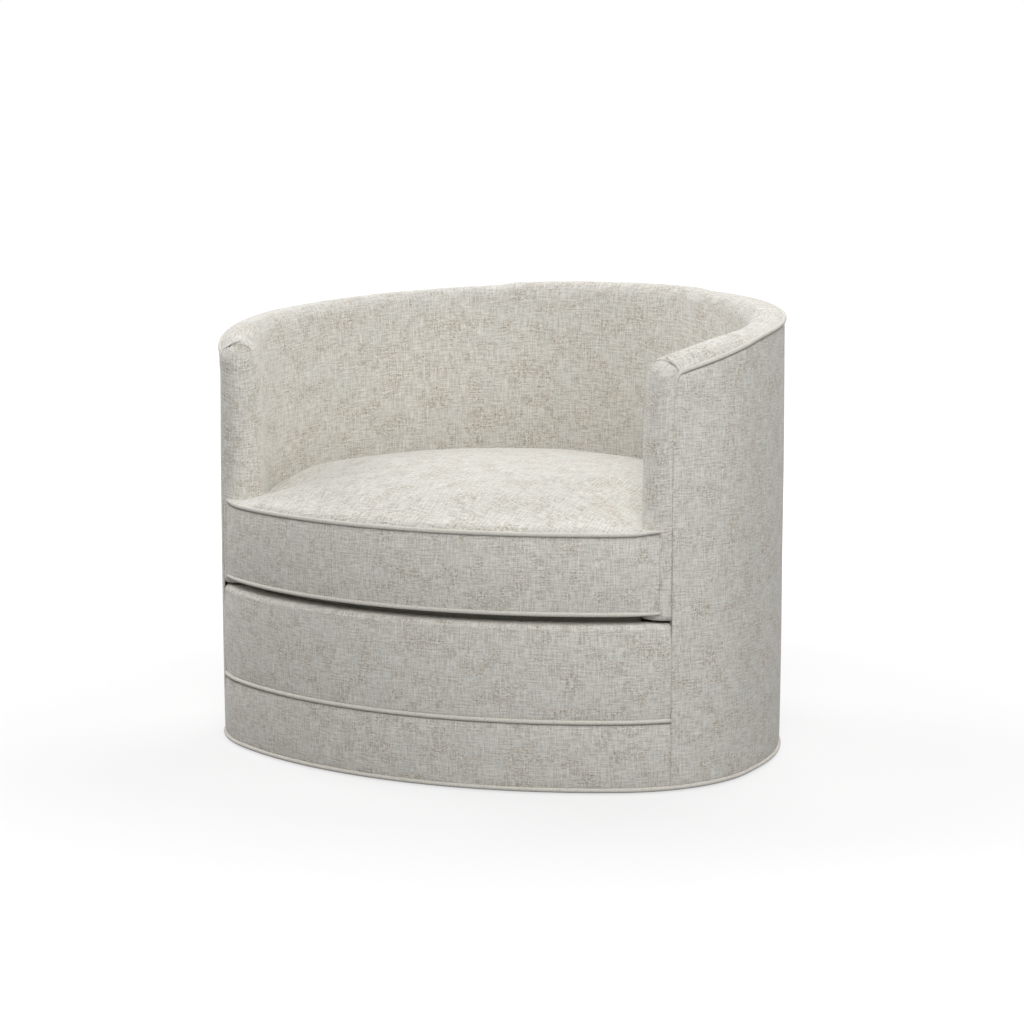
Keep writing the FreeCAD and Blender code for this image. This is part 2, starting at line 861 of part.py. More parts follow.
def rim_stations():
    """Stations of the rim welt from the right seam to the middle of the back, and on to the left seam."""
    right = [rim_station(corner_centre, corner_radius - welt_inset, seam_angle * (1 - step / corner_stations))
             for step in range(corner_stations + 1)]
    right += [rim_station(back_centre, half_width - welt_inset, quarter * step / back_stations)
              for step in range(back_stations + 1)]
    left = [(Vector(-point.x, point.y, point.z), Vector(heading.x, -heading.y, -heading.z))
            for point, heading in reversed(right[:-1])]
    return right + left


def arc_from(start, heading, end):
    """Arc that leaves start along heading and reaches end."""
    chord = end - start
    half_turn = heading.getAngle(chord)
    if half_turn < tiny:
        return line(start, end)
    aside = (heading - chord * (heading.dot(chord) / chord.dot(chord))).normalize()
    middle = (start + end) / 2 + aside * (chord.Length / 2 * math.tan(half_turn / 2))
    return Part.Arc(start, middle, end).toShape()


def smooth_path(stations):
    """Pairs of tangent arcs through stations of point and heading."""
    edges = []
    for (start, leave), (end, arrive) in zip(stations, stations[1:]):
        chord = end - start
        both = leave + arrive
        spread = 2 * (1 - leave.dot(arrive))
        reach = chord.dot(both)
        if spread < tiny:
            arm = chord.dot(chord) / (2 * reach)
        else:
            arm = (math.sqrt(reach ** 2 + spread * chord.dot(chord)) - reach) / spread
        meet = (start + leave * arm + end - arrive * arm) / 2
        edges.append(arc_from(start, leave, meet))
        edges.append(arc_from(end, arrive * -1, meet))
    return joined(edges)


def make_rim_welt():
    stations = rim_stations()
    start, heading = stations[0]
    return tube(smooth_path(stations), welt_radius, start, heading)


def cushion_prism(depth, bottom, top):
    """The cushion's plan, taken in by depth, between two heights."""
    return seat_prism(cushion_front_inset + depth, cushion_gap + depth, cushion_tip_radius - depth,
                      bottom, top)


def crown_section(share):
    """Level outline of the crown where it is share of its full width."""
    side = cushion_side - panel_edge
    front = widest_y - front_bow + cushion_front_inset + panel_edge
    bow = crown_corner_line - front
    inner = side - crown_corner_radius
    radius = (inner ** 2 + bow ** 2 - crown_corner_radius ** 2) / (2 * (bow - crown_corner_radius))
    bow_centre = Vector(0, front + radius, 0)
    turn_centre = Vector(inner, crown_corner_line, 0)
    joint = heading_of(turn_centre - bow_centre)
    edges = [arc(bow_centre, radius, -quarter, joint),
             arc(turn_centre, crown_corner_radius, joint, 0),
             line(Vector(side, crown_corner_line, 0), Vector(side, back_y, 0)),
             arc(back_centre, side, 0, quarter)]
    wire = joined(both_sides(edges))
    wire.scale(share, Vector(0, crown_centre_y, 0))
    return wire.translated(up(cushion_top_welt_height + cushion_crown * (1 - share ** crown_power)))


def crown_body(depth):
    """Top of the cushion above the boxing, lowered by depth."""
    dome = Part.makeLoft([crown_section(share) for share in crown_steps], True, False)
    shoulder = cushion_prism(panel_edge, boxing_top, cushion_top_welt_height + cloth - depth)
    room = cushion_prism(panel_edge, boxing_top, cushion_top_welt_height + 2 * cushion_crown)
    return shoulder.fuse(dome.translated(up(-depth)).common(room))


def make_cushion_top_panel():
    return crown_body(0).cut(crown_body(cloth))


def make_cushion_bottom_panel():
    return cushion_prism(panel_edge, cushion_bottom, cushion_bottom + cloth)


def make_cushion_core():
    foot = cushion_prism(panel_edge, cushion_bottom + cloth, boxing_bottom)
    return fused([foot, cushion_prism(core_edge, boxing_bottom, boxing_top), crown_body(cloth)])


def cushion_boxing():
    return cushion_prism(0, boxing_bottom, boxing_top).cut(cushion_prism(cloth, boxing_bottom, boxing_top))


def boxing_front_room():
    """Everything in front of the cushion's two corner tips."""
    arm_front = cap_centre(cloth, wall).y - (wall - cloth) / 2
    return Part.makeBox(2 * far, far, far, Vector(-far, arm_front - far, 0))


def make_cushion_front_boxing():
    return cushion_boxing().common(boxing_front_room())


def back_sector(inner, outer, start, end, bottom, top):
    """Piece of a ring about the centre of the round back."""
    ends = [line(polar(back_centre, inner, angle), polar(back_centre, outer, angle))
            for angle in (start, end)]
    arcs = [arc(back_centre, radius, start, end) for radius in (inner, outer)]
    return prism(joined(arcs + ends), bottom, top)


def make_cushion_rear_boxing():
    half = zip_height / 2 + soft_clearance
    window = back_sector(cushion_side - 2 * cloth, cushion_side + cloth, quarter - zip_half_angle,
                         quarter + zip_half_angle, zip_middle - half, zip_middle + half)
    return cushion_boxing().cut(boxing_front_room()).cut(window)


def make_cushion_zip():
    start = math.degrees(soft_clearance / cushion_side)
    outer = cushion_side - running_clearance
    half = zip_height / 2
    return back_sector(outer - zip_thickness, outer, quarter - zip_half_angle + start,
                       quarter + zip_half_angle - start, zip_middle - half, zip_middle + half)


def make_zip_slider():
    turn = math.degrees(slider_length / 2 / cushion_side)
    middle = quarter - zip_half_angle + 2 * turn
    inner = cushion_side + running_clearance
    half = zip_height / 2 - slider_margin
    body = back_sector(inner, inner + slider_thickness, middle - turn, middle + turn,
                       zip_middle - half, zip_middle + half)
    tab_inner = inner + (slider_thickness - tab_thickness) / 2
    tab = back_sector(tab_inner, tab_inner + tab_thickness, middle - turn / 2, middle + turn / 2,
                      zip_middle - half - tab_length, zip_middle - half)
    return body.fuse(tab)


def cushion_welt(height):
    path = seat_outline(cushion_front_inset + welt_seat, cushion_gap + welt_seat,
                        cushion_tip_radius - welt_seat)
    return flat_tube(path.translated(up(height)), welt_radius)


def all_parts():
    parts = {
        "floor_glides": make_floor_glides(),
        "base_screws": make_base_screws(),
        "base_ring": make_base_ring(),
        "base_bar_lower": make_bar(False),
        "base_bar_upper": make_bar(True),
        "lower_plate_screws": make_lower_plate_screws(),
        "lower_swivel_plate": make_lower_swivel_plate(),
        "swivel_rivet": make_swivel_rivet(),
        "ball_cage": make_ball_cage(),
        "race_balls": make_race_balls(),
        "upper_swivel_plate": make_upper_swivel_plate(),
        "upper_plate_bolts": make_upper_plate_bolts(),
        "swivel_bush": make_swivel_bush(),
        "platform_board": make_platform_board(),
        "plinth_ring": make_plinth_ring(),
        "plinth_blocks": make_plinth_blocks(),
        "dust_cover": make_dust_cover(),
        "post_screws": make_post_screws(),
        "rail_screws": make_rail_screws(),
        "front_seat_rail": make_front_seat_rail(),
        "side_seat_rail_right": make_side_seat_rail(1),
        "side_seat_rail_left": make_side_seat_rail(-1),
        "back_seat_rail": make_back_seat_rail(),
        "top_rail": make_top_rail(),
        "seat_springs": make_seat_springs(),
        "spring_clips": make_spring_clips(),
        "tie_wires": make_tie_wires(),
        "spring_felt": make_spring_felt(),
        "deck_foam": make_deck_foam(),
        "deck_cover": make_deck_cover(),
        "inside_backing": make_inside_backing(),
        "inside_foam": make_inside_foam(),
        "inside_cover": make_inside_cover(),
        "outside_backing": make_outside_backing(),
        "outside_wadding": make_outside_wadding(),
        "outside_cover": make_outside_cover(),
        "front_backing": make_front_backing(),
        "front_wadding": make_front_wadding(),
        "front_cover": make_front_cover(),
        "band_wadding": make_band_wadding(),
        "band_cover": make_band_cover(),
        "rim_welt": make_rim_welt(),
        "band_welt": make_band_welt(),
        "hem_welt": make_hem_welt(),
        "cushion_core": make_cushion_core(),
        "cushion_top_panel": make_cushion_top_panel(),
        "cushion_bottom_panel": make_cushion_bottom_panel(),
        "cushion_front_boxing": make_cushion_front_boxing(),
        "cushion_rear_boxing": make_cushion_rear_boxing(),
        "cushion_top_welt": cushion_welt(cushion_top_welt_height),
        "cushion_bottom_welt": cushion_welt(cushion_bottom_welt_height),
        "cushion_zip": make_cushion_zip(),
        "zip_slider": make_zip_slider(),
    }
    for name in post_places():
        parts[name] = make_post(name)
    return parts


def main():
    os.makedirs("parts", exist_ok=True)
    for name, shape in all_parts().items():
        shape.exportStep("parts/" + name + ".step")
        print(name, len(shape.Solids), round(shape.Volume / 1000), "cm3", shape.isValid())


main()
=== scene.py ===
import math

import bmesh
import bpy
from mathutils import Matrix, Vector, kdtree, noise


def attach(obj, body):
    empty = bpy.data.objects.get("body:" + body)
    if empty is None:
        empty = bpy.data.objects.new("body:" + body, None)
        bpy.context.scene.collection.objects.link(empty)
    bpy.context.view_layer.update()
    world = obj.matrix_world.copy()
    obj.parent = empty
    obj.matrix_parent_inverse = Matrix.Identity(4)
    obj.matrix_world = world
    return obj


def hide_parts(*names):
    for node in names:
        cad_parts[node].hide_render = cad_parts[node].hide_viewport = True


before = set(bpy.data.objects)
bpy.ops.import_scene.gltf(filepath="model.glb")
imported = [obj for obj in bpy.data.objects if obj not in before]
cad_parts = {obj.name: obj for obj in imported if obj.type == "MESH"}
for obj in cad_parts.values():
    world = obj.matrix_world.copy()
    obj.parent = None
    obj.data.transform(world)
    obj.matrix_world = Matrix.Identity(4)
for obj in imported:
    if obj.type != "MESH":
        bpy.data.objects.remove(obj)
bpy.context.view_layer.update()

print("frame in")

# The chair's plan and heights, as its CAD has them. The front faces -Y.
plan = {"halfWidth": 0.457, "frontBow": 0.299, "cornerRadius": 0.242, "sideRun": 0.036, "seamRun": 0.079,
        "wall": 0.065, "cloth": 0.002, "rimHeight": 0.678, "rimSlope": 0.085, "armDrop": 0.03015}
sideOfBow = plan["halfWidth"] - plan["cornerRadius"]
bowRadius = (sideOfBow ** 2 + plan["frontBow"] ** 2 - plan["cornerRadius"] ** 2) / (
    2 * (plan["frontBow"] - plan["cornerRadius"]))
widestY = plan["frontBow"] - (plan["frontBow"] + plan["sideRun"] + plan["halfWidth"]) / 2
backY = widestY + plan["sideRun"]
bowCentre = Vector((0, widestY - plan["frontBow"] + bowRadius, 0))
cornerCentre = Vector((sideOfBow, widestY, 0))
backCentre = Vector((0, backY, 0))
bowEnd = -math.atan2(bowRadius - plan["frontBow"], sideOfBow)
seamAngle = bowEnd + plan["seamRun"] / plan["cornerRadius"]
bowRun = bowRadius * (math.pi / 2 + bowEnd)
cornerRun = plan["cornerRadius"] * -bowEnd
halfRun = bowRun + cornerRun + plan["sideRun"] + plan["halfWidth"] * math.pi / 2
seamAt = bowRun + plan["seamRun"]
farSeamAt = 2 * halfRun - seamAt
up = Vector((0, 0, 1))


def wayAt(angle):
    return Vector((math.cos(angle), math.sin(angle), 0))


def onCircle(centre, radius, angle):
    return centre + Vector((radius * math.cos(angle), radius * math.sin(angle), 0))


def outlineAt(run, inset=0.0):
    # a place on the chair's outline, run metres round from the middle of the front, and the way out there
    run = (run + halfRun) % (2 * halfRun) - halfRun
    side = -1 if run < 0 else 1
    run = abs(run)
    if run < bowRun:
        centre, radius, angle = bowCentre, bowRadius, run / bowRadius - math.pi / 2
    elif run < bowRun + cornerRun:
        centre, radius = cornerCentre, plan["cornerRadius"]
        angle = bowEnd + (run - bowRun) / radius
    elif run < bowRun + cornerRun + plan["sideRun"]:
        centre, radius, angle = Vector((0, widestY + run - bowRun - cornerRun, 0)), plan["halfWidth"], 0
    else:
        centre, radius = backCentre, plan["halfWidth"]
        angle = (run - bowRun - cornerRun - plan["sideRun"]) / radius
    way = wayAt(angle)
    place = centre + way * (radius - inset)
    return Vector((side * place.x, place.y, 0)), Vector((side * way.x, way.y, 0))


rimTilt = math.atan(plan["rimSlope"])
armReach = -(widestY + plan["cornerRadius"] * math.sin(seamAngle))
rimBend = (armReach ** 2 + (plan["rimSlope"] * armReach + plan["armDrop"]) ** 2) / (
    2 * plan["armDrop"] * math.cos(rimTilt))


def rimAt(y):
    # the rim's height: straight over the back, bending down over the arms
    if y >= 0:
        return plan["rimHeight"] + plan["rimSlope"] * y
    middle = rimBend * math.sin(rimTilt)
    return plan["rimHeight"] - rimBend * math.cos(rimTilt) + math.sqrt(rimBend ** 2 - (y - middle) ** 2)


def smooth(value, low, high):
    share = min(1, max(0, (value - low) / (high - low)))
    return share * share * (3 - 2 * share)


def hump(value, low, full, fading, high):
    # rises from 0 at low to 1 at full, and falls from fading to 0 at high
    return smooth(value, low, full) * (1 - smooth(value, fading, high))


def even(start, end, count):
    return [start + (end - start) * index / count for index in range(count + 1)]


def spread(start, end, step, edge=(0.0, 0.0007, 0.0015, 0.0027, 0.0045, 0.0075)):
    # even steps from start to end, closer together at both ends
    values = even(start, end, max(1, round((end - start) / step)))
    for place in (start, end):
        near = [place + sign * gap for gap in edge for sign in (-1, 1)]
        near = [value for value in near if start - 1e-7 <= value <= end + 1e-7]
        values = [value for value in values if all(abs(value - other) > 0.3 * step for other in near)] + near
    return sorted({round(value, 7) for value in values})


def seamGaps(run):
    # how far run is from the seam at each arm end
    return run - seamAt, farSeamAt - run


def addPanel(mesh, across, along, place, lay, seam=None):
    # a grid of cloth: place gives each point, lay its spot on the flat cloth in metres, seam how much painted
    # shade of seams, welts and creases it carries
    shade = mesh.verts.layers.float.get("seam") or mesh.verts.layers.float.new("seam")
    made = bmesh.ops.create_grid(mesh, x_segments=len(across) - 1, y_segments=len(along) - 1, size=1)["verts"]
    spots = {}
    for vert in made:
        column = across[round((vert.co.x + 1) / 2 * (len(across) - 1))]
        row = along[round((vert.co.y + 1) / 2 * (len(along) - 1))]
        spots[vert] = lay(column, row)
        vert.co = place(column, row)
        vert[shade] = seam(column, row) if seam else 0
    layer = mesh.loops.layers.uv.verify()
    for face in {face for vert in made for face in vert.link_faces}:
        for loop in face.loops:
            loop[layer].uv = spots[loop.vert]


def ripple(point, size, depth, seed=0.0):
    return depth * noise.noise(point / size + Vector((seed, 2.3 * seed, -seed)))


def nearSeam(gap, width=0.0018):
    # 1 on a seam line, fading to 0 a couple of millimetres off it
    return math.exp(-(gap / width) ** 2)


def treeOf(places):
    # finds the nearest of many places
    tree = kdtree.KDTree(len(places))
    for index, place in enumerate(places):
        tree.insert(place, index)
    tree.balance()
    return tree


def fromAxis(point):
    return Vector((point.x, point.y, 0)).normalized()


mergeGap = 0.00001


def asObject(mesh, name, material, away=None):
    # away gives the way out at a point of an open cloth; a closed piece needs none
    bmesh.ops.remove_doubles(mesh, verts=mesh.verts, dist=mergeGap)
    bmesh.ops.recalc_face_normals(mesh, faces=mesh.faces)
    if away:
        facing = [face.normal.dot(away(face.calc_center_median())) * face.calc_area() for face in mesh.faces]
        if sum(facing) < 0:
            bmesh.ops.reverse_faces(mesh, faces=mesh.faces)
    data = bpy.data.meshes.new(name)
    mesh.to_mesh(data)
    mesh.free()
    data.polygons.foreach_set("use_smooth", [True] * len(data.polygons))
    data.materials.append(material)
    made = bpy.data.objects.new(name, data)
    bpy.context.scene.collection.objects.link(made)
    return made


def capped(mesh):
    # closes the open ends of a cord or wire
    bmesh.ops.remove_doubles(mesh, verts=mesh.verts, dist=mergeGap)
    bmesh.ops.holes_fill(mesh, edges=[edge for edge in mesh.edges if edge.is_boundary])
    return mesh


def backed(piece, thickness):
    shell = piece.modifiers.new("backing", "SOLIDIFY")
    shell.thickness = thickness
    shell.offset = -1
    return piece


def applied(piece):
    graph = bpy.context.evaluated_depsgraph_get()
    done = bpy.data.meshes.new_from_object(piece.evaluated_get(graph), preserve_all_data_layers=True,
                                           depsgraph=graph)
    old = piece.data
    piece.modifiers.clear()
    piece.data = done
    bpy.data.meshes.remove(old)


class Amount:
    # what a node gives; sums on a number add Math nodes
    def __init__(self, finish, socket):
        self.finish, self.socket = finish, socket

    def sum(self, operation, first, second):
        return self.finish.add("ShaderNodeMath", {"operation": operation}, {0: first, 1: second})

    def __add__(self, other):
        return self.sum("ADD", self, other)

    def __rsub__(self, other):
        return self.sum("SUBTRACT", other, self)

    def __mul__(self, other):
        return self.sum("MULTIPLY", self, other)

    __radd__, __rmul__ = __add__, __mul__


class Finish:
    # the nodes of a new material, or of the world given; patterns lie on the cloth (2) or in the object (3)
    def __init__(self, name, where=3, world=None):
        self.material = world or bpy.data.materials.new(name)
        self.material.use_nodes = True
        self.tree = self.material.node_tree
        self.tree.nodes.clear()
        self.where = None if world else self.add("ShaderNodeTexCoord", output=where)

    def add(self, kind, settings=None, values=None, output=0):
        node = self.tree.nodes.new(kind)
        for key, value in (settings or {}).items():
            setattr(node, key, value)
        for socket, value in (values or {}).items():
            if isinstance(value, Amount):
                self.tree.links.new(value.socket, node.inputs[socket])
            else:
                node.inputs[socket].default_value = value
        return Amount(self, node.outputs[output]) if node.outputs else None

    def mix(self, factor, first, second):
        first, second = (value if isinstance(value, Amount) else (*value, 1) for value in (first, second))
        return self.add("ShaderNodeMix", {"data_type": "RGBA"}, {0: factor, 6: first, 7: second}, 2)

    def speckle(self, across, along, detail=2.0, depth=1.0):
        # noise with so many cycles a metre each way
        spot = self.add("ShaderNodeVectorMath", {"operation": "MULTIPLY"},
                        {0: self.where, 1: (across, along, depth)})
        return self.add("ShaderNodeTexNoise", None,
                        {"Vector": spot, "Scale": 1.0, "Detail": detail, "Roughness": 0.6})

    def grain(self, size, detail):
        return self.speckle(size, size, detail, size)

    def weave(self, across, along, detail=2.0, share=0.5):
        return self.speckle(across, along, detail) * share + self.speckle(along, across, detail) * share

    def step(self, value, low, high):
        return self.add("ShaderNodeMapRange", {"interpolation_type": "SMOOTHSTEP"},
                        {0: value, 1: low, 2: high, 3: 0.0, 4: 1.0})

    def fleck(self, across, along, detail, low, high):
        return self.step(self.speckle(across, along, detail), low, high)

    def paintSeamShade(self, colour, paintedShadeTone):
        # painted shade: darkens the colour along the seams, welts and darts that the mesh carries, standing
        # in for the shade in their creases
        line = self.add("ShaderNodeAttribute", {"attribute_name": "seam"}, output=2)
        return self.mix(line * 0.8, colour, paintedShadeTone)

    def finished(self, colour, roughness, height, depth, **fixed):
        bump = self.add("ShaderNodeBump", None, {"Strength": 1.0, "Distance": depth, "Height": height})
        values = {"Base Color": colour, "Roughness": roughness, "Normal": bump}
        values.update({name.replace("_", " "): value for name, value in fixed.items()})
        self.add("ShaderNodeOutputMaterial", None, {0: self.add("ShaderNodeBsdfPrincipled", None, values)})
        return self.material


# Linen weave. A pattern is cycles a metre across and along, detail, and where it starts and is full.
# the seam colour is the dark tone of the painted shade along seams, welts and darts
linen = {"pale": (0.83, 0.81, 0.76), "grey": (0.46, 0.437, 0.385), "cool": (0.66, 0.675, 0.65),
         "tan": (0.40, 0.29, 0.175), "dark": (0.17, 0.135, 0.09), "white": (0.95, 0.94, 0.905),
         "seam": (0.10, 0.09, 0.075), "threads": (430.0, 46.0, 3.0, 0.36), "knots": (620, 700),
         "knotShare": 0.28, "greyRange": (0.36, 0.60), "patch": (24, 28, 4.0, 0.44, 0.62),
         "chill": (17, 13, 3.0, 0.46, 0.62), "chillShare": 0.22, "slubHeight": 0.3, "depth": 0.00013,
         "roughness": 0.92,
         "sheen": {"Sheen_Weight": 0.20, "Sheen_Roughness": 0.5, "Specular_IOR_Level": 0.25}}
# colour, pattern, and strength inside the darker patches and everywhere
linenFlecks = [("tan", (150, 560, 2.0, 0.53, 0.62), 0.46, 0.14),
               ("tan", (560, 150, 2.0, 0.54, 0.63), 0.36, 0.10),
               ("dark", (270, 380, 1.5, 0.57, 0.67), 0.50, 0.12)]
# pale slubs: pattern and strength
linenSlubs = [((34, 560, 1.5, 0.58, 0.68), 0.38), ((520, 22, 1.5, 0.57, 0.68), 0.34)]


def linenFinish():
    cloth = Finish("linen weave", 2)
    height = cloth.weave(*linen["threads"]) + cloth.speckle(*linen["knots"]) * linen["knotShare"]
    patch = cloth.fleck(*linen["patch"])
    colour = cloth.mix(cloth.step(height, *linen["greyRange"]), linen["grey"], linen["pale"])
    colour = cloth.mix(cloth.fleck(*linen["chill"]) * linen["chillShare"], colour, linen["cool"])
    for tone, pattern, inPatch, everywhere in linenFlecks:
        colour = cloth.mix(cloth.fleck(*pattern) * (patch * inPatch + everywhere), colour, linen[tone])
    for pattern, share in linenSlubs:
        slub = cloth.fleck(*pattern)
        colour = cloth.mix(slub * share, colour, linen["white"])
        height = height + slub * linen["slubHeight"]
    # the colour gets painted shade along the seams, welts and darts
    return cloth.finished(cloth.paintSeamShade(colour, linen["seam"]), linen["roughness"], height, linen["depth"],
                          **linen["sheen"])


# The same cloth cut on the slant and pulled tight over cord
bias = {"slant": 45, "threads": (1100, 160), "threadRange": (0.34, 0.58), "dark": (0.55, 0.52, 0.46),
        "pale": (0.76, 0.735, 0.68), "flecks": (300, 420, 2.0, 0.58, 0.70), "fleckShare": 0.35,
        "depth": 0.00012, "roughness": 0.9,
        "sheen": {"Sheen_Weight": 0.15, "Sheen_Roughness": 0.6, "Specular_IOR_Level": 0.25}}


def biasFinish():
    cloth = Finish("linen welt", 2)
    turn = (0, 0, math.radians(bias["slant"]))
    cloth.where = cloth.add("ShaderNodeMapping", None, {0: cloth.where, 2: turn})
    threads = cloth.weave(*bias["threads"])
    colour = cloth.mix(cloth.step(threads, *bias["threadRange"]), bias["dark"], bias["pale"])
    colour = cloth.mix(cloth.fleck(*bias["flecks"]) * bias["fleckShare"], colour, linen["tan"])
    return cloth.finished(colour, bias["roughness"], threads, bias["depth"], **bias["sheen"])


print("finishes")
linenCloth = linenFinish()
linenBias = biasFinish()

# Arms and back: inner wall, roll over the top, round arm ends
pad = {"foot": 0.262, "taper": 0.0105, "taperFade": 0.05, "rise": 0.0115, "outerEnd": 0.002, "shell": 0.003,
       "armLift": (0.0095, 0.0060), "armLiftRun": (0.09, 0.24), "armEndDrop": 0.0025, "armEndRun": 0.04,
       "backLift": 0.0042, "backLiftRun": (0.18, 0.225),
       "belly": 0.0025, "bellyHeights": (0.30, 0.46, 0.50, 0.66),
       "seamLean": 0.007, "leanFade": 0.05, "leanRun": 0.03, "ripple": 0.0008, "flatRun": 0.05,
       "capBlend": 0.45, "capEnd": 0.8, "capProud": (0.6, 0.97), "tuck": 0.0001, "tuckRun": 0.0014,
       "step": 0.009, "fineStep": 0.0009, "fineRun": 0.031, "fineRows": 34,
       "wallRows": 40, "rollRows": 44, "capColumns": 130,
       # weltRun to capShade: painted shade under the rim welt and along the arm-end seams
       "weltRun": 0.03, "seamWidth": 0.0014, "rimShade": 0.5, "capShade": 0.04}
# Dart across each arm top, the fullness beside it, and the painted shade in its crease
dart = {"turn": 0.531, "ahead": 0.0087, "depth": 0.0022, "width": 0.0012, "start": (-0.024, -0.017),
        "fade": 0.2, "side": 0.03, "reach": 0.045, "shade": 0.75,
        "puff": 0.0011, "puffRun": 0.007, "puffBehind": 0.6}
# Where the pad's cloth lies flat: its height on the wall and roll, its run round the plan, the caps' place
padFlat = {"wall": 0.38, "roll": 0.036, "round": 0.88, "cap": 0.82}
padHalf = (plan["wall"] - plan["cloth"]) / 2
capCentre = onCircle(cornerCentre, plan["cornerRadius"] - plan["cloth"] - padHalf, seamAngle)
dartPlace = capCentre - Vector((0, dart["ahead"], 0))
dartWay = wayAt(seamAngle + dart["turn"])


def liftAt(run):
    # the arms' tops are fuller than the back's, and the back is puffed across its middle
    armEnd = min(seamGaps(run))
    arm = pad["armLift"][0 if run < halfRun else 1]
    arm -= pad["armEndDrop"] * (1 - smooth(armEnd, 0, pad["armEndRun"]))
    back = pad["backLift"] * (1 - smooth(abs(run - halfRun), *pad["backLiftRun"]))
    return arm * (1 - smooth(armEnd, *pad["armLiftRun"])) + back


def taperAt(drop):
    return pad["taper"] * math.exp(-drop / pad["taperFade"])


def leanAt(drop):
    return pad["seamLean"] * math.exp(-drop / pad["leanFade"])


def leaned(run, lean, fade):
    # near the seams, run shifted by lean towards the back of the chair
    near, far = seamGaps(run)
    return run + lean * (1 - smooth(near, 0, fade)) - lean * (1 - smooth(far, 0, fade))


def innerSide(share):
    # depth in from the wall's face and drop under the crest, from the wall (0) to the crest (1)
    turn = share * math.pi / 2
    roll = padHalf - pad["taper"]
    drop = roll * (1 - math.sin(turn))
    return roll * (1 - math.cos(turn)) + taperAt(drop), drop


def outerSide(share, fall):
    # the same from the outer welt (0) to the crest (1)
    turn = share * math.pi / 2
    return padHalf * (1 - math.cos(turn)), fall * (1 - math.sin(turn))


def dartLine(place, level):
    # 1 on the dart across the arm top, 0 away from it, and how far the top is puffed up beside it
    off = Vector((abs(place.x), place.y, 0)) - dartPlace
    along, across = off.dot(dartWay), off.cross(dartWay).z
    if level <= 0 or abs(across) > dart["side"] or abs(along) > dart["reach"]:
        return 0, 0
    reach = smooth(along, *dart["start"]) * smooth(level, 0.0, dart["fade"])
    puff = dart["puff"] * math.exp(-abs(across) / dart["puffRun"]) * (1 if across > 0 else dart["puffBehind"])
    return reach * math.exp(-(across / dart["width"]) ** 2), puff * reach


def pressed(place, out, level):
    # the arm top pressed in along its dart, out being the level way out of the roll there
    line, puff = dartLine(place, level)
    turn = min(level, 2 - level) * math.pi / 2
    return place + (out * math.cos(turn) + up * math.sin(turn)) * (puff - (dart["depth"] + puff) * line)


def wallTop(run, level):
    # depth from the inner face and drop under the crest, level 0 to 1 up the inside, 1 to 2 down the outside
    if level <= 1:
        return innerSide(max(0, level))
    depth, drop = outerSide(2 - level, pad["rise"] + liftAt(run) - pad["outerEnd"])
    return 2 * padHalf - depth, drop


def padPoint(run, level):
    # level -1 to 0 up the wall, then as for its top
    depth, drop = wallTop(run, level)
    base, way = outlineAt(leaned(run, leanAt(drop) * smooth(level, 1, 2), pad["leanRun"]), plan["cloth"])
    place = base - way * (2 * padHalf - depth)
    crest = rimAt(place.y) + pad["rise"] + liftAt(run)
    height = crest - drop
    belly = 0
    if level < 0:
        height += (height - pad["foot"]) * level
        place = base - way * (2 * padHalf - taperAt(crest - height))
        belly = pad["belly"] * hump(height, *pad["bellyHeights"])
    place.z = height
    belly += ripple(place, 0.12, pad["ripple"], 3.0)
    place -= way * belly * smooth(min(seamGaps(run)), 0, pad["flatRun"])
    return pressed(place, way if level > 1 else -way, level)


def capPoint(side, turn, level):
    # the round arm end: turn 0 at the inner wall, 1 at the seam with the outside; level as for the wall
    lift = liftAt(seamAt if side > 0 else farSeamAt)
    inner = innerSide(max(0, level))
    outer = outerSide(max(0, level), pad["rise"] + lift - pad["outerEnd"])
    share = smooth(turn, pad["capBlend"], 1.0)
    depth, drop = (first + (second - first) * share for first, second in zip(inner, outer))

    def laid(depth, drop):
        out = wayAt(seamAngle + math.pi * (1 + turn) + leanAt(drop) / padHalf * share)
        return out, capCentre + out * (padHalf - depth)

    out, place = laid(depth, drop)
    crest = rimAt(place.y) + pad["rise"] + lift
    height = crest - drop
    if level < 0:
        height += (height - pad["foot"]) * level
        out, place = laid(taperAt(crest - height) * (1 - share), crest - height)
    elif turn > pad["capEnd"]:
        base, way = outlineAt(seamAt + leanAt(drop) * smooth(level, 1, 0), plan["cloth"])
        place = place.lerp(base - way * depth, smooth(turn, pad["capEnd"], 1.0))
        height = rimAt(place.y) + pad["rise"] + lift - drop
    place.z = height
    edge = (1 - turn) * math.pi * padHalf
    place += out * plan["cloth"] * smooth(turn, *pad["capProud"]) * (1 - smooth(level, -0.02, 0.3))
    place -= out * pad["tuck"] * math.exp(-edge / pad["tuckRun"]) * (1 - smooth(level, -0.02, 0.0))
    place += out * ripple(place, 0.08, pad["ripple"], 5.0) * hump(turn, 0.0, 0.15, 0.85, 1.0)
    place = pressed(place, out, level)
    return Vector((side * place.x, place.y, place.z))


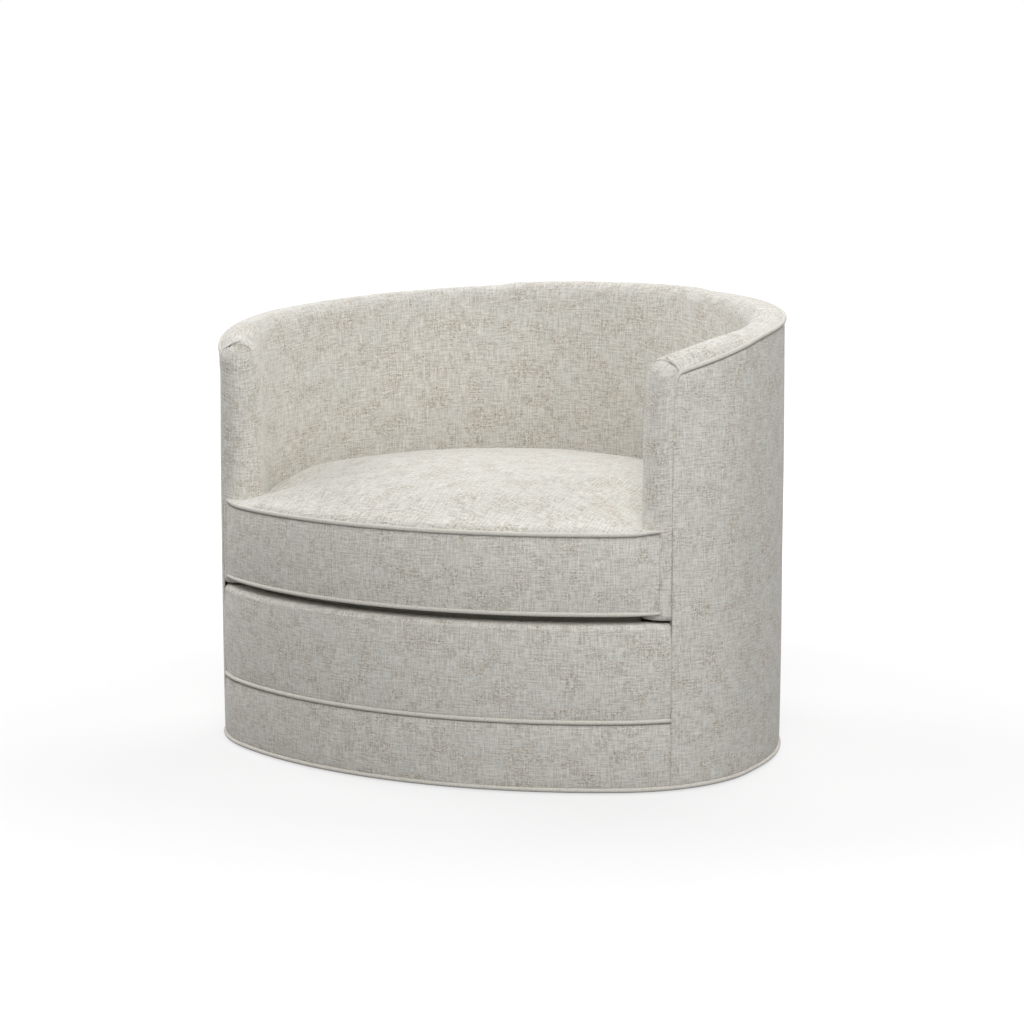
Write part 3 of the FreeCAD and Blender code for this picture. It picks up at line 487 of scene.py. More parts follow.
def makePad():
    mesh = bmesh.new()
    levels = even(-1, 0, pad["wallRows"])[:-1] + even(0, 1, pad["rollRows"])
    fine = [index * pad["fineStep"] for index in range(pad["fineRows"])]
    runs = [run for run in spread(seamAt, farSeamAt, pad["step"]) if min(seamGaps(run)) > pad["fineRun"]]
    runs = [seamAt + gap for gap in fine] + runs + [farSeamAt - gap for gap in reversed(fine)]

    def upTheCloth(level):
        return padFlat["wall"] * (1 + min(level, 0)) + padFlat["roll"] * max(0, level)

    def padPaintedShade(run, level):
        # painted shade under the rim welt and in the dart's crease
        rim = nearSeam(max(0, 2 - level) * pad["weltRun"], pad["seamWidth"]) * pad["rimShade"]
        return max(rim, dartLine(padPoint(run, level), level)[0] * dart["shade"])

    def layCap(turn, level):
        place = capPoint(1, turn, level)
        around = min(padHalf, (Vector((place.x, place.y, 0)) - capCentre).length)
        return side * (padFlat["cap"] + math.pi * (padHalf / 2 + (turn - 0.5) * around)), upTheCloth(level)

    def capPaintedShade(turn, level):
        # painted shade along the arm-end seam and in the dart's crease
        edge = nearSeam((1 - turn) * math.pi * padHalf, pad["seamWidth"]) * smooth(-level, 0, 0.05)
        line = dartLine(capPoint(1, turn, level), level)[0]
        return max(edge * pad["capShade"], line * dart["shade"])

    addPanel(mesh, runs, levels + even(1, 2, pad["rollRows"])[1:], padPoint,
             lambda run, level: ((run - halfRun) * padFlat["round"], upTheCloth(level)), padPaintedShade)
    for side in (1, -1):
        addPanel(mesh, even(0, 1, pad["capColumns"]), levels, lambda turn, level: capPoint(side, turn, level),
                 layCap, capPaintedShade)
    return backed(asObject(mesh, "armsBackPad", linenCloth, lambda point: up), pad["shell"])


print("arms and back")
armsBackPad = makePad()
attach(armsBackPad, "chair")
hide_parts("inside_cover", "inside_foam")

# Flat covers over the boards of the outside, the front and the skirt
covers = {"tuck": 0.0030, "tuckRun": 0.0032, "sideTuck": 0.03, "frontTuck": 0.12,
          "hem": 0.0065, "band": 0.110, "weltGap": 0.001, "step": 0.012,
          "railTop": 0.257, "railRound": 0.009, "railReturn": 0.026,
          "ripple": 0.0006, "swell": 0.0012, "frontSwell": 0.0018, "leanRun": 0.06, "leanDrop": 0.014,
          "tall": 0.66, "shell": 0.002}
# How much painted shade a cover has along its seams: at its ends, its foot and its top under the welts, and
# how far behind the edge the welt hides it
paintedSeamShade = {"side": 0.25, "width": 0.0014, "foot": 0.25, "footWidth": 0.0012, "top": 0.9, "behind": 0.0027,
            "rimBehind": 0.0011, "low": 0.28, "high": 0.04, "fade": (0.26, 0.42)}
coverFoot = covers["hem"] + covers["weltGap"]


def tucked(*gaps):
    # how far cloth dips in where it runs into a seam, gap metres away
    return sum(covers["tuck"] * math.exp(-max(0, gap) / covers["tuckRun"]) for gap in gaps)


def seamShade(ends, low, high, behind=paintedSeamShade["behind"], side=paintedSeamShade["side"]):
    # painted shade along the seams and welts, from the gaps to the ends, the foot and the top
    return max(nearSeam(ends, paintedSeamShade["width"]) * side,
               nearSeam(low - paintedSeamShade["behind"], paintedSeamShade["footWidth"]) * paintedSeamShade["foot"],
               nearSeam(high - behind, paintedSeamShade["width"]) * paintedSeamShade["top"])


def addCover(name, across, along, place, lay, seam):
    mesh = bmesh.new()
    addPanel(mesh, across, along, place, lay, seam)
    return backed(asObject(mesh, name, linenCloth, fromAxis), covers["shell"])


def outsidePoint(run, share):
    base, way = outlineAt(run)
    top = rimAt(base.y) + covers["weltGap"]
    lean = leanAt((top - coverFoot) * (1 - share) + covers["leanDrop"])
    base, way = outlineAt(leaned(run, lean, covers["leanRun"]))
    place = base.copy()
    place.z = coverFoot + (rimAt(base.y) + covers["weltGap"] - coverFoot) * share
    ends = tucked(*seamGaps(run)) * covers["sideTuck"] + tucked(place.z - coverFoot, top - place.z)
    swell = covers["swell"] * hump(share, 0, 0.3, 0.6, 1)
    return place + way * (swell + ripple(place, 0.13, covers["ripple"], 1.0) - ends)


def makeOutside():
    shares = [value / covers["tall"] for value in spread(0, covers["tall"], covers["step"])]

    def tall(run):
        return rimAt(outlineAt(run)[0].y) - coverFoot

    def seam(run, share):
        # painted shade along the arm-end seams, stronger low down, along the foot and under the rim welt
        level = share * tall(run)
        side = paintedSeamShade["low"] + (paintedSeamShade["high"] - paintedSeamShade["low"]) * smooth(level, *paintedSeamShade["fade"])
        return seamShade(min(seamGaps(run)), level, tall(run) - level, paintedSeamShade["rimBehind"], side)

    return addCover("outsidePanel", spread(seamAt, farSeamAt, covers["step"]), shares, outsidePoint,
                    lambda run, share: (run + 3.1, share * tall(run)), seam)


frontFoot = covers["band"] + covers["weltGap"]
frontFace = covers["railTop"] - covers["railRound"] - frontFoot
railArc = covers["railRound"] * math.pi / 2


def frontPoint(run, level):
    # level in metres up the cloth: the panel's face, the rounded edge, then the return over the rail
    radius = covers["railRound"]
    base, way = outlineAt(run)
    if level <= frontFace:
        inset, height = 0, frontFoot + level
    elif level <= frontFace + railArc:
        turn = (level - frontFace) / radius
        inset, height = radius * (1 - math.cos(turn)), covers["railTop"] - radius + radius * math.sin(turn)
    else:
        inset, height = radius + level - frontFace - railArc, covers["railTop"]
    place = base - way * inset
    place.z = height
    swell = covers["frontSwell"] * hump(min(1, level / frontFace), 0, 0.35, 0.75, 1)
    ends = tucked(seamAt - abs(run)) * covers["frontTuck"] + tucked(level)
    wave = ripple(place, 0.12, covers["ripple"], 2.0) * (1 - smooth(inset, 0, 0.01))
    return place + way * (swell + wave - ends)


def makeFront():
    levels = spread(0, frontFace, covers["step"]) + even(frontFace, frontFace + railArc, 8)[1:]
    levels += even(frontFace + railArc, frontFace + railArc + covers["railReturn"], 4)[1:]
    # the front cover, with painted shade along its ends and just above the band welt
    return addCover("frontPanel", spread(-seamAt, seamAt, covers["step"]), levels, frontPoint,
                    lambda run, level: (run + 0.7, level + 0.3),
                    lambda run, level: seamShade(seamAt - abs(run), level, 1))


bandTall = covers["band"] - covers["weltGap"] - coverFoot


def bandPoint(run, level):
    base, way = outlineAt(run)
    place = base.copy()
    place.z = coverFoot + level
    swell = covers["swell"] * hump(level, 0, 0.04, 0.06, bandTall)
    ends = tucked(seamAt - abs(run)) * covers["frontTuck"] + tucked(level, bandTall - level)
    return place + way * (swell + ripple(place, 0.12, covers["ripple"], 4.0) - ends)


def makeBand():
    # the skirt band, with painted shade along its ends, above the hem welt and under the band welt
    return addCover("skirtBand", spread(-seamAt, seamAt, covers["step"]), spread(0, bandTall, covers["step"]),
                    bandPoint, lambda run, level: (run + 1.9, level + 0.9),
                    lambda run, level: seamShade(seamAt - abs(run), level, bandTall - level))


print("covers")
outsidePanel, frontPanel, skirtBand = makeOutside(), makeFront(), makeBand()
for cover, nodes in ((outsidePanel, ("outside_cover", "outside_wadding")),
                     (frontPanel, ("front_cover", "front_wadding")),
                     (skirtBand, ("band_cover", "band_wadding"))):
    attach(cover, "chair")
    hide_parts(*nodes)

# Welts: cord in a bias strip, round the seams
welt = {"radius": 0.0035, "inset": 0.001, "sides": 10, "step": 0.006, "rimAbove": 0.0038, "turnDown": 0.010,
        "turnSteps": 8, "fade": 0.036, "fadeSteps": 12, "fadeFrom": 0.004, "thinning": 0.8, "sinking": 0.0022,
        "leanDrop": 0.012, "roughness": 0.0001}


def addTube(mesh, path, closed, radius, sides, roughness=0.0):
    # path: places with a way square to the run at each; radius: one number for each place
    count = len(path)
    lengths = [0.0]
    for (start, _), (end, _) in zip(path, path[1:] + path[:1]):
        lengths.append(lengths[-1] + (end - start).length)

    def around(index, turn):
        place, way = path[index % count]
        ahead = path[(index + 1) % count][0] if closed or index + 1 < count else place
        behind = path[(index - 1) % count][0] if closed or index > 0 else place
        side = (ahead - behind).normalized().cross(way).normalized()
        angle = turn * 2 * math.pi / sides
        reach = radius[index % count] + ripple(place, 0.02, roughness, 7.0)
        return place + (way * math.cos(angle) + side * math.sin(angle)) * reach

    addPanel(mesh, range(count + 1 if closed else count), range(sides + 1), around,
             lambda index, turn: (lengths[index], turn * 2 * math.pi * max(radius) / sides))


def weltAlong(name, path, closed, radii=None):
    mesh = bmesh.new()
    addTube(mesh, path, closed, radii or [welt["radius"]] * len(path), welt["sides"], welt["roughness"])
    return asObject(capped(mesh), name, linenBias)


def levelPath(height, start, end, closed):
    runs = even(start, end, round((end - start) / welt["step"]))
    path = []
    for run in runs[:-1] if closed else runs:
        place, way = outlineAt(run, welt["inset"])
        path.append((place + up * height, way))
    return path


def rimPath():
    # up the arm-front seam, round a small turn, along the rim and down the other seam
    def rimHeightAt(run):
        return rimAt(outlineAt(run)[0].y) + welt["rimAbove"]

    radius = welt["turnDown"]
    steps = []
    for down in even(welt["fade"], 0, welt["fadeSteps"])[:-1]:
        share = 1 - welt["thinning"] * smooth(down, welt["fadeFrom"], welt["fade"])
        steps.append((seamAt, rimHeightAt(seamAt) - radius - down, share))
    for turn in even(0, math.pi / 2, welt["turnSteps"]):
        run = seamAt + radius * (1 - math.cos(turn))
        steps.append((run, rimHeightAt(run) - radius + radius * math.sin(turn), 1.0))
    for run in even(seamAt + radius, halfRun, round((halfRun - seamAt - radius) / welt["step"]))[1:]:
        steps.append((run, rimHeightAt(run), 1.0))
    steps += [(2 * halfRun - run, height, share) for run, height, share in reversed(steps[:-1])]
    path, radii = [], []
    for run, height, share in steps:
        lean = leanAt(max(0, rimHeightAt(run) - height) + welt["leanDrop"])
        inset = welt["inset"] + (1 - share) * welt["sinking"]
        place, way = outlineAt(leaned(run, lean, pad["leanRun"]), inset)
        path.append((place + up * height, way))
        radii.append(welt["radius"] * share)
    return path, radii


print("welts")
rimSteps, rimRadii = rimPath()
rimWelt = weltAlong("rimWelt", rimSteps, False, rimRadii)
bandWelt = weltAlong("bandWelt", levelPath(covers["band"], -seamAt, seamAt, False), False)
hemWelt = weltAlong("hemWelt", levelPath(covers["hem"], -halfRun, halfRun, True), True)
for piece, node in ((rimWelt, "rim_welt"), (bandWelt, "band_welt"), (hemWelt, "hem_welt")):
    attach(piece, "chair")
    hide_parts(node)

# Seat cushion: fills the inner wall, and its ears turn in front of the arm ends
cushion = {"frontInset": 0.003, "gap": 0.002, "tip": 0.0015, "bottomWelt": 0.273, "topWelt": 0.392,
           "ear": 0.0035, "earAt": (0.018, 0.004), "earRun": 0.03, "earThin": 0.0011,
           "belly": 0.0050, "earBelly": 0.0030, "leastBelly": 0.0004, "ripple": 0.0012,
           "boxingRipple": 0.0006, "welted": 0.0012, "bottomDrop": 0.0030, "bottomLift": 0.0028,
           # reach, topShade and bottomShade: painted shade along the seams, under the welts
           "frontY": (0.20, 0.27), "reach": 0.38, "topShade": 0.3, "bottomShade": 0.9,
           "rounds": 5, "evenFrom": 0.008, "rows": 44, "boxingRows": 14}
# The top is puffed up from its seam over a hand's width, less in the ears and in the hollow by each arm end
puff = {"height": 0.023, "run": 0.060, "frontRun": 0.150, "earShare": 0.50, "earRun": 0.028,
        "earX": (0.31, 0.36), "earY": (0.21, 0.27), "frontX": (0.26, 0.34), "frontY": (0.10, 0.26),
        "hollow": 0.7, "hollowRun": (0.036, 0.11)}
# A low dome stands on that: an oval, whose rings take the seam's shape from ringStart outwards
crown = {"height": 0.043, "power": 2.4, "centreY": -0.030, "inset": 0.0042, "cornerOffset": 0.112,
         "cornerRadius": 0.110, "ringStart": 0.72, "byArm": 0.06, "armRun": (0.040, 0.150), "rounds": 6}
crownMiddle = Vector((0, crown["centreY"], 0))


def arcSteps(centre, radius, start, end, count):
    return [(onCircle(centre, radius, angle), wayAt(angle)) for angle in even(start, end, count)[:-1]]


def seatOutline(frontInset, gap, tipRadius):
    # (place, way out) right round, anticlockwise from the middle of the front
    capRadius = padHalf + gap
    span = plan["cornerRadius"] - (plan["wall"] + plan["cloth"]) / 2
    reach = plan["cornerRadius"] - frontInset - tipRadius
    ahead = (reach ** 2 - (capRadius + tipRadius) ** 2 + span ** 2) / (2 * span)
    aside = math.sqrt(reach ** 2 - ahead ** 2)
    tip = onCircle(onCircle(cornerCentre, ahead, seamAngle), aside, seamAngle - math.pi / 2)
    tipAngle = math.atan2((tip - cornerCentre).y, (tip - cornerCentre).x)
    toCap = math.atan2((capCentre - tip).y, (capCentre - tip).x)
    inner = plan["halfWidth"] - plan["wall"] - gap
    steps = arcSteps(bowCentre, bowRadius - frontInset, -math.pi / 2, bowEnd, 44)
    steps += arcSteps(cornerCentre, plan["cornerRadius"] - frontInset, bowEnd, tipAngle, 8)
    steps += arcSteps(tip, tipRadius, tipAngle, toCap, 7)
    roundCap = arcSteps(capCentre, capRadius, toCap - math.pi, seamAngle - math.pi, 10)
    steps += [(place, -way) for place, way in roundCap]
    steps += arcSteps(cornerCentre, plan["cornerRadius"] - plan["wall"] - gap, seamAngle, 0, 18)
    steps += [(Vector((inner, y, 0)), wayAt(0)) for y in even(widestY, backY, 5)[:-1]]
    steps += arcSteps(backCentre, inner, 0, math.pi / 2, 80)
    steps += [(Vector((0, backY + inner, 0)), Vector((0, 1, 0)))]
    turned = Vector((-1, 1, 1))
    return steps + [(place * turned, way * turned) for place, way in reversed(steps[1:-1])]


def crownAngle(place):
    # from the front, either way round the crown's middle
    return math.atan2((place - crownMiddle).x, -(place - crownMiddle).y)


def crownOutline():
    # the oval that the crown swells from, as (angle about its middle, reach)
    side = plan["halfWidth"] - plan["wall"] - cushion["gap"] - crown["inset"]
    line = widestY - crown["cornerOffset"]
    front = widestY - plan["frontBow"] + cushion["frontInset"] + crown["inset"]
    bow = line - front
    inner = side - crown["cornerRadius"]
    radius = (inner ** 2 + bow ** 2 - crown["cornerRadius"] ** 2) / (2 * (bow - crown["cornerRadius"]))
    centre = Vector((0, front + radius, 0))
    turn = Vector((inner, line, 0))
    joint = math.atan2((turn - centre).y, (turn - centre).x)
    half = arcSteps(centre, radius, -math.pi / 2, joint, 60)
    half += arcSteps(turn, crown["cornerRadius"], joint, 0, 30)
    half += [(Vector((side, y, 0)), wayAt(0)) for y in even(line, backY, 30)[:-1]]
    half += arcSteps(backCentre, side, 0, math.pi / 2, 90) + [(Vector((0, backY + side, 0)), up)]
    return [(crownAngle(place), (place - crownMiddle).length) for place, way in half]


ovalSteps = crownOutline()


def ovalReach(angle):
    angle = abs(angle)
    for (low, near), (high, far) in zip(ovalSteps, ovalSteps[1:]):
        if low <= angle <= high:
            return near + (far - near) * (angle - low) / max(1e-9, high - low)
    return ovalSteps[-1][1]


def seatRings(outline):
    # for each place on the outline, its direction about the crown's middle, never turning back
    half = len(outline) // 2
    angles = [crownAngle(place) for place, way in outline[:half + 1]]
    angles[half] = math.pi
    for index in range(1, half + 1):
        angles[index] = max(angles[index], angles[index - 1])
    for _ in range(crown["rounds"]):
        inner = [sum(three) / 3 for three in zip(angles, angles[1:], angles[2:])]
        angles = [angles[0]] + inner + [angles[-1]]
    return angles + [-angle for angle in reversed(angles[1:-1])]


def topPoint(outline, angles, index, share, level):
    # share 0 at the middle, 1 at the seam
    index %= len(outline)
    angle = angles[index]
    oval = crownMiddle + Vector((math.sin(angle), -math.cos(angle), 0)) * ovalReach(angle) * share
    place = oval.lerp(outline[index][0], smooth(share, crown["ringStart"], 1.0))
    place.z = level
    return place


def earAt(place):
    # 1 at the cushion's two front points, falling to 0 along its sides
    run, inset = cushion["earAt"]
    tip, way = outlineAt(seamAt - run, inset)
    return math.exp(-((Vector((abs(place.x), place.y, 0)) - tip).length / cushion["earRun"]) ** 2)


def makeCushion():
    mesh = bmesh.new()
    outline = seatOutline(cushion["frontInset"], cushion["gap"], cushion["tip"])
    angles = seatRings(outline)
    ears = [earAt(place) for place, way in outline]
    columns = range(len(outline) + 1)
    lengths = [0.0]
    for index in range(len(outline)):
        lengths.append(lengths[-1] + (outline[(index + 1) % len(outline)][0] - outline[index][0]).length)
    shares = [share ** 0.75 for share in even(0, 1, cushion["rows"])[:-4]]
    shares += [0.95, 0.97, 0.985, 0.993, 0.997, 1.0]
    nearest = treeOf([place for place, way in outline])
    low, high = cushion["bottomWelt"], cushion["topWelt"]

    def seamGap(place):
        spot = Vector((place.x, place.y, 0))
        first, index, gap = nearest.find(spot)
        for other in (outline[index - 1][0], outline[(index + 1) % len(outline)][0]):
            along = (spot - first).dot(other - first) / (other - first).length_squared
            gap = min(gap, (spot - first.lerp(other, min(1, max(0, along)))).length)
        return gap

    def puffAt(place, armEnd):
        inEar = smooth(abs(place.x), *puff["earX"]) * smooth(-place.y, *puff["earY"])
        inFront = smooth(-place.y, *puff["frontY"]) * (1 - smooth(abs(place.x), *puff["frontX"]))
        run = puff["run"] + (puff["earRun"] - puff["run"]) * inEar
        run += (puff["frontRun"] - puff["run"]) * inFront
        share = 1 - (1 - min(1, seamGap(place) / run)) ** 2
        share *= 1 - puff["hollow"] * (1 - smooth(armEnd, *puff["hollowRun"])) * (1 - inEar)
        return puff["height"] * share * (1 - puff["earShare"] * inEar)

    def crownAt(share, armEnd):
        give = crown["byArm"] + (1 - crown["byArm"]) * smooth(armEnd, *crown["armRun"])
        return crown["height"] * (1 - share ** crown["power"]) * give

    def top(index, share):
        place = topPoint(outline, angles, index, share, high)
        armEnd = (Vector((abs(place.x), place.y, 0)) - capCentre).length
        place.z += puffAt(place, armEnd) + crownAt(share, armEnd)
        place.z += cushion["ear"] * ears[index % len(ears)] * smooth(share, 0.85, 1.0)
        place.z += ripple(place, 0.10, cushion["ripple"], 8.0) * (1 - smooth(share, 0.9, 1.0))
        place.z -= cushion["welted"] * smooth(share, 0.985, 1.0)
        return place

    def bottom(index, share):
        place = topPoint(outline, angles, index, share, low - cushion["bottomDrop"])
        place.z += cushion["bottomLift"] * smooth(share, 0.97, 1.0)
        return place

    def boxing(index, share):
        place, way = outline[index % len(outline)]
        ear = ears[index % len(ears)]
        height = low - 0.0002 + (high + cushion["ear"] * ear - 0.0010 - low) * share
        front = smooth(-place.y, *cushion["frontY"]) * (way.y < 0.2)
        belly = (cushion["belly"] - cushion["earBelly"] * ear) * front + cushion["leastBelly"]
        spot = Vector((place.x, place.y, height))
        wave = ripple(spot, 0.06, cushion["boxingRipple"], 9.0) * math.sin(math.pi * share) * front
        return spot + way * (belly * (4 * share * (1 - share)) ** 0.6 + wave)

    # the top, with painted shade along its seam under the top welt
    addPanel(mesh, columns, shares, top,
             lambda index, share: tuple(topPoint(outline, angles, index, share, 0).xy),
             lambda index, share: nearSeam((1 - share) * cushion["reach"]) * cushion["topShade"])
    bmesh.ops.remove_doubles(mesh, verts=mesh.verts, dist=mergeGap)
    loose = [vert for vert in mesh.verts if seamGap(vert.co) > cushion["evenFrom"]]
    for _ in range(cushion["rounds"]):
        bmesh.ops.smooth_vert(mesh, verts=loose, factor=0.5, use_axis_z=True)
    # the bottom, with painted shade along its edge under the bottom welt
    addPanel(mesh, columns, shares, bottom, lambda index, share: tuple(bottom(index, share).xy),
             lambda index, share: nearSeam((1 - share) * cushion["reach"], 0.004) * cushion["bottomShade"])
    rows = [0, 0.006, 0.012, 0.022, 0.04] + even(0, 1, cushion["boxingRows"])[1:-1]
    rows += [0.965, 0.977, 0.988, 0.994, 1.0]
    # the boxing, with painted shade under both welts
    addPanel(mesh, columns, rows, boxing, lambda index, share: (lengths[index] + 5, share * (high - low)),
             lambda index, share: seamShade(1, share * (high - low), (1 - share) * (high - low)))
    return asObject(mesh, "seatCushion", linenCloth)


# The filling blows the cushion's top up on an evenly meshed copy; the seamed mesh takes the swelling over
swelling = {"voxel": 0.006, "pressure": 4.0, "frames": 20, "most": 0.006, "topFrom": 0.386,
            "seamRun": (0.002, 0.035), "neighbours": 6, "nearest": 0.001}


def blownUp(piece):
    # how far the cloth moves at each spot of the copy, held everywhere but on its top
    copy = bpy.data.objects.new("evenCushion", piece.data.copy())
    bpy.context.scene.collection.objects.link(copy)
    remesh = copy.modifiers.new("even", "REMESH")
    remesh.mode = "VOXEL"
    remesh.voxel_size = swelling["voxel"]
    applied(copy)
    before = [vert.co.copy() for vert in copy.data.vertices]
    held = copy.vertex_groups.new(name="held")
    held.add([index for index, spot in enumerate(before) if spot.z < swelling["topFrom"]], 1.0, "REPLACE")
    cloth = copy.modifiers.new("cloth", "CLOTH")
    cloth.settings.vertex_group_mass = "held"
    cloth.settings.use_pressure = True
    cloth.settings.uniform_pressure_force = swelling["pressure"]
    cloth.settings.effector_weights.gravity = 0
    cloth.point_cache.frame_start = 1
    cloth.point_cache.frame_end = swelling["frames"]
    for number in range(1, swelling["frames"] + 1):
        bpy.context.scene.frame_set(number)
    applied(copy)
    bpy.context.scene.frame_set(1)
    moves = [vert.co - spot for vert, spot in zip(copy.data.vertices, before)]
    mesh = copy.data
    bpy.data.objects.remove(copy)
    bpy.data.meshes.remove(mesh)
    return before, moves


def swell(piece):
    before, moves = blownUp(piece)
    spots = treeOf(before)
    outline = seatOutline(cushion["frontInset"], cushion["gap"], cushion["tip"])
    seam = treeOf([place for place, way in outline])
    for vert in piece.data.vertices:
        if vert.co.z < cushion["topWelt"] - 0.002:
            continue
        near = spots.find_n(vert.co, swelling["neighbours"])
        weights = [(index, 1 / (gap + swelling["nearest"])) for spot, index, gap in near]
        move = sum((moves[index] * weight for index, weight in weights), Vector())
        move /= sum(weight for index, weight in weights)
        if move.length > swelling["most"]:
            move *= swelling["most"] / move.length
        vert.co += move * smooth(seam.find((vert.co.x, vert.co.y, 0))[2], *swelling["seamRun"])


print("cushion")
seatCushion = makeCushion()
swell(seatCushion)
print("cushion swelled")
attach(seatCushion, "cushion")
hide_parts("cushion_core", "cushion_top_panel", "cushion_bottom_panel", "cushion_front_boxing",
            "cushion_rear_boxing")


def cushionPath(height, ear):
    # the welt stands a hair proud of the boxing, and thins and lifts into the ears
    path, radii = [], []
    for place, way in seatOutline(cushion["frontInset"] - 0.0004, cushion["gap"] - 0.0002, cushion["tip"]):
        path.append((place + up * (height + ear * earAt(place)), way))
        radii.append(welt["radius"] - cushion["earThin"] * earAt(place))
    return path, radii


for name, node, height, ear in (("cushionTopWelt", "cushion_top_welt", cushion["topWelt"], cushion["ear"]),
                                ("cushionBottomWelt", "cushion_bottom_welt", cushion["bottomWelt"], 0)):
    path, radii = cushionPath(height, ear)
    piece = weltAlong(name, path, True, radii)
    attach(piece, "cushion")
    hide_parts(node)

# Seat deck under the cushion: cloth over foam and felt
deck = {"frontInset": 0.0353, "gap": 0.0003, "tip": 0.006, "top": 0.269, "edge": 0.2622, "foot": 0.2495,
        "fall": 0.006, "sink": 0.0008, "rows": 20, "dark": (0.24, 0.225, 0.20), "pale": (0.40, 0.38, 0.345)}


def deckFinish():
    cloth = Finish("deck cloth", 2)
    weave = cloth.weave(900, 90)
    colour = cloth.mix(cloth.step(weave, 0.36, 0.62), deck["dark"], deck["pale"])
    return cloth.finished(colour, 0.95, weave, 0.0002)


def makeDeck():
    mesh = bmesh.new()
    outline = seatOutline(deck["frontInset"], deck["gap"], deck["tip"])
    angles = seatRings(outline)
    shares = even(0, 1, deck["rows"])[:-1] + [0.97, 0.985, 0.995, 1.0]

    def top(index, share):
        level = deck["top"] - deck["fall"] * smooth(share, 0.93, 1.0) - deck["sink"]
        return topPoint(outline, angles, index, share, level)

    def side(index, share):
        return outline[index % len(outline)][0] + up * (deck["foot"] + (deck["edge"] - deck["foot"]) * share)

    def under(index, share):
        return topPoint(outline, angles, index, share, deck["foot"])

    for place, rows in ((top, shares), (side, [0, 0.5, 1]), (under, shares)):
        addPanel(mesh, range(len(outline) + 1), rows, place, lambda index, share: tuple(top(index, share).xy))
    return asObject(mesh, "deckPad", deckFinish())


deckPad = makeDeck()
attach(deckPad, "chair")
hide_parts("deck_cover", "deck_foam", "spring_felt")

# Black cloth under the chair, from the plinth to the hole over the swivel
dust = {"inset": 0.0576, "hole": 0.140, "height": 0.0578, "thickness": 0.0006, "sag": 0.0025, "columns": 160,
        "length": 0.676, "dark": (0.022, 0.022, 0.023), "pale": (0.06, 0.06, 0.062), "dots": 420.0}


def dustFinish():
    cloth = Finish("black spun cloth", 2)
    fibres = cloth.speckle(700, 260, 3.0)
    dots = cloth.add("ShaderNodeTexVoronoi", {"feature": "F1"},
                     {"Vector": cloth.where, "Scale": dust["dots"]})
    colour = cloth.mix(cloth.step(fibres, 0.35, 0.65), dust["dark"], dust["pale"])
    return cloth.finished(colour, 0.8, fibres * 0.5 + cloth.step(dots, 0.1, 0.5) * 0.5, 0.0002)


def makeDust():
    mesh = bmesh.new()

    def place(index, share):
        edge = outlineAt(2 * halfRun * index / dust["columns"], dust["inset"])[0]
        hole = onCircle(Vector((0, 0, dust["height"])), dust["hole"], math.atan2(edge.y, edge.x))
        spot = hole.lerp(edge + up * dust["height"], share)
        sag = dust["sag"] * math.sin(math.pi * share) ** 2
        return spot - up * (sag * (1 + ripple(spot, 0.09, 0.8, 11.0)))

    addPanel(mesh, range(dust["columns"] + 1), [0, 0.02] + even(0, 1, 12)[1:-1] + [0.98, 1], place,
             lambda index, share: tuple(place(index, share).xy))
    made = asObject(mesh, "dustCloth", dustFinish(), lambda point: -up)
    backed(made, dust["thickness"])
    return made, sum(face.area for face in made.data.polygons)


print("dust cloth")
dustCloth, dustArea = makeDust()
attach(dustCloth, "chair")
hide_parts("dust_cover")

# Zip along the back of the cushion: woven tape, a row of teeth, and its slider
# line and the last colour give the painted shade along the tape's middle, under the teeth
zipper = {"radius": 0.3905, "level": 0.3325, "halfAngle": 49.9, "halfTape": 0.006, "tape": 0.0005,
          "columns": 120, "proud": 0.0002, "line": 0.0005, "tooth": (0.0012, 0.0009, 0.0036),
          "toothPitch": 0.0024, "toothProud": 0.0006, "toothOff": 0.0005, "toothInset": 0.6,
          "toothBevel": 0.0002, "slider": 41.76, "sliderRadius": 0.39125, "sliderBevel": 0.0004,
          "dark": (0.36, 0.33, 0.28), "pale": (0.60, 0.57, 0.51), "paintedShadeTone": (0.1, 0.09, 0.08)}
# the slider's body, bridge and pull: (size, place)
sliderParts = [((0.0014, 0.0100, 0.0090), (0, 0, 0)), ((0.0006, 0.0050, 0.0030), (0.0010, 0, 0)),
               ((0.0010, 0.0046, 0.0130), (0.0004, 0, -0.0108))]


def tapeFinish():
    tape = Finish("zip tape", 2)
    weave = tape.weave(1600, 300)
    colour = tape.mix(tape.step(weave, 0.35, 0.62), zipper["dark"], zipper["pale"])
    # the tape's weave, with painted shade along its middle
    return tape.finished(tape.paintSeamShade(colour, zipper["paintedShadeTone"]), 0.8, weave, 0.0001)


def metalFinish(name, colour, roughness, worn=0.12):
    metal = Finish(name)
    cloud = metal.grain(60.0, 4.0)
    scratch = metal.speckle(900, 900, 2.0, 60)
    tone = metal.mix(metal.step(cloud, 0.35, 0.65), tuple(value * 0.82 for value in colour), colour)
    roughness = cloud * worn + scratch * worn + (roughness - worn)
    return metal.finished(tone, roughness, scratch, 0.00003, Metallic=1.0)


def atZip(radius, angle, height):
    return onCircle(backCentre, radius, angle) + up * (zipper["level"] + height)


def zipAngles(inset, count):
    # inset in degrees off each end of the zip
    reach = math.radians(zipper["halfAngle"] - inset)
    return even(math.pi / 2 - reach, math.pi / 2 + reach, count)


def beveledBoxes(name, boxes, bevel, segments, finish):
    mesh = bmesh.new()
    for size, place in boxes:
        bmesh.ops.create_cube(mesh, size=1, matrix=place @ Matrix.Diagonal((*size, 1)))
    bmesh.ops.bevel(mesh, geom=mesh.edges[:], offset=bevel, segments=segments, profile=0.5, affect="EDGES",
                    material=-1)
    return asObject(mesh, name, finish)


def onZip(radius, angle, height):
    return Matrix.Translation(atZip(radius, angle, height)) @ Matrix.Rotation(angle, 4, "Z")


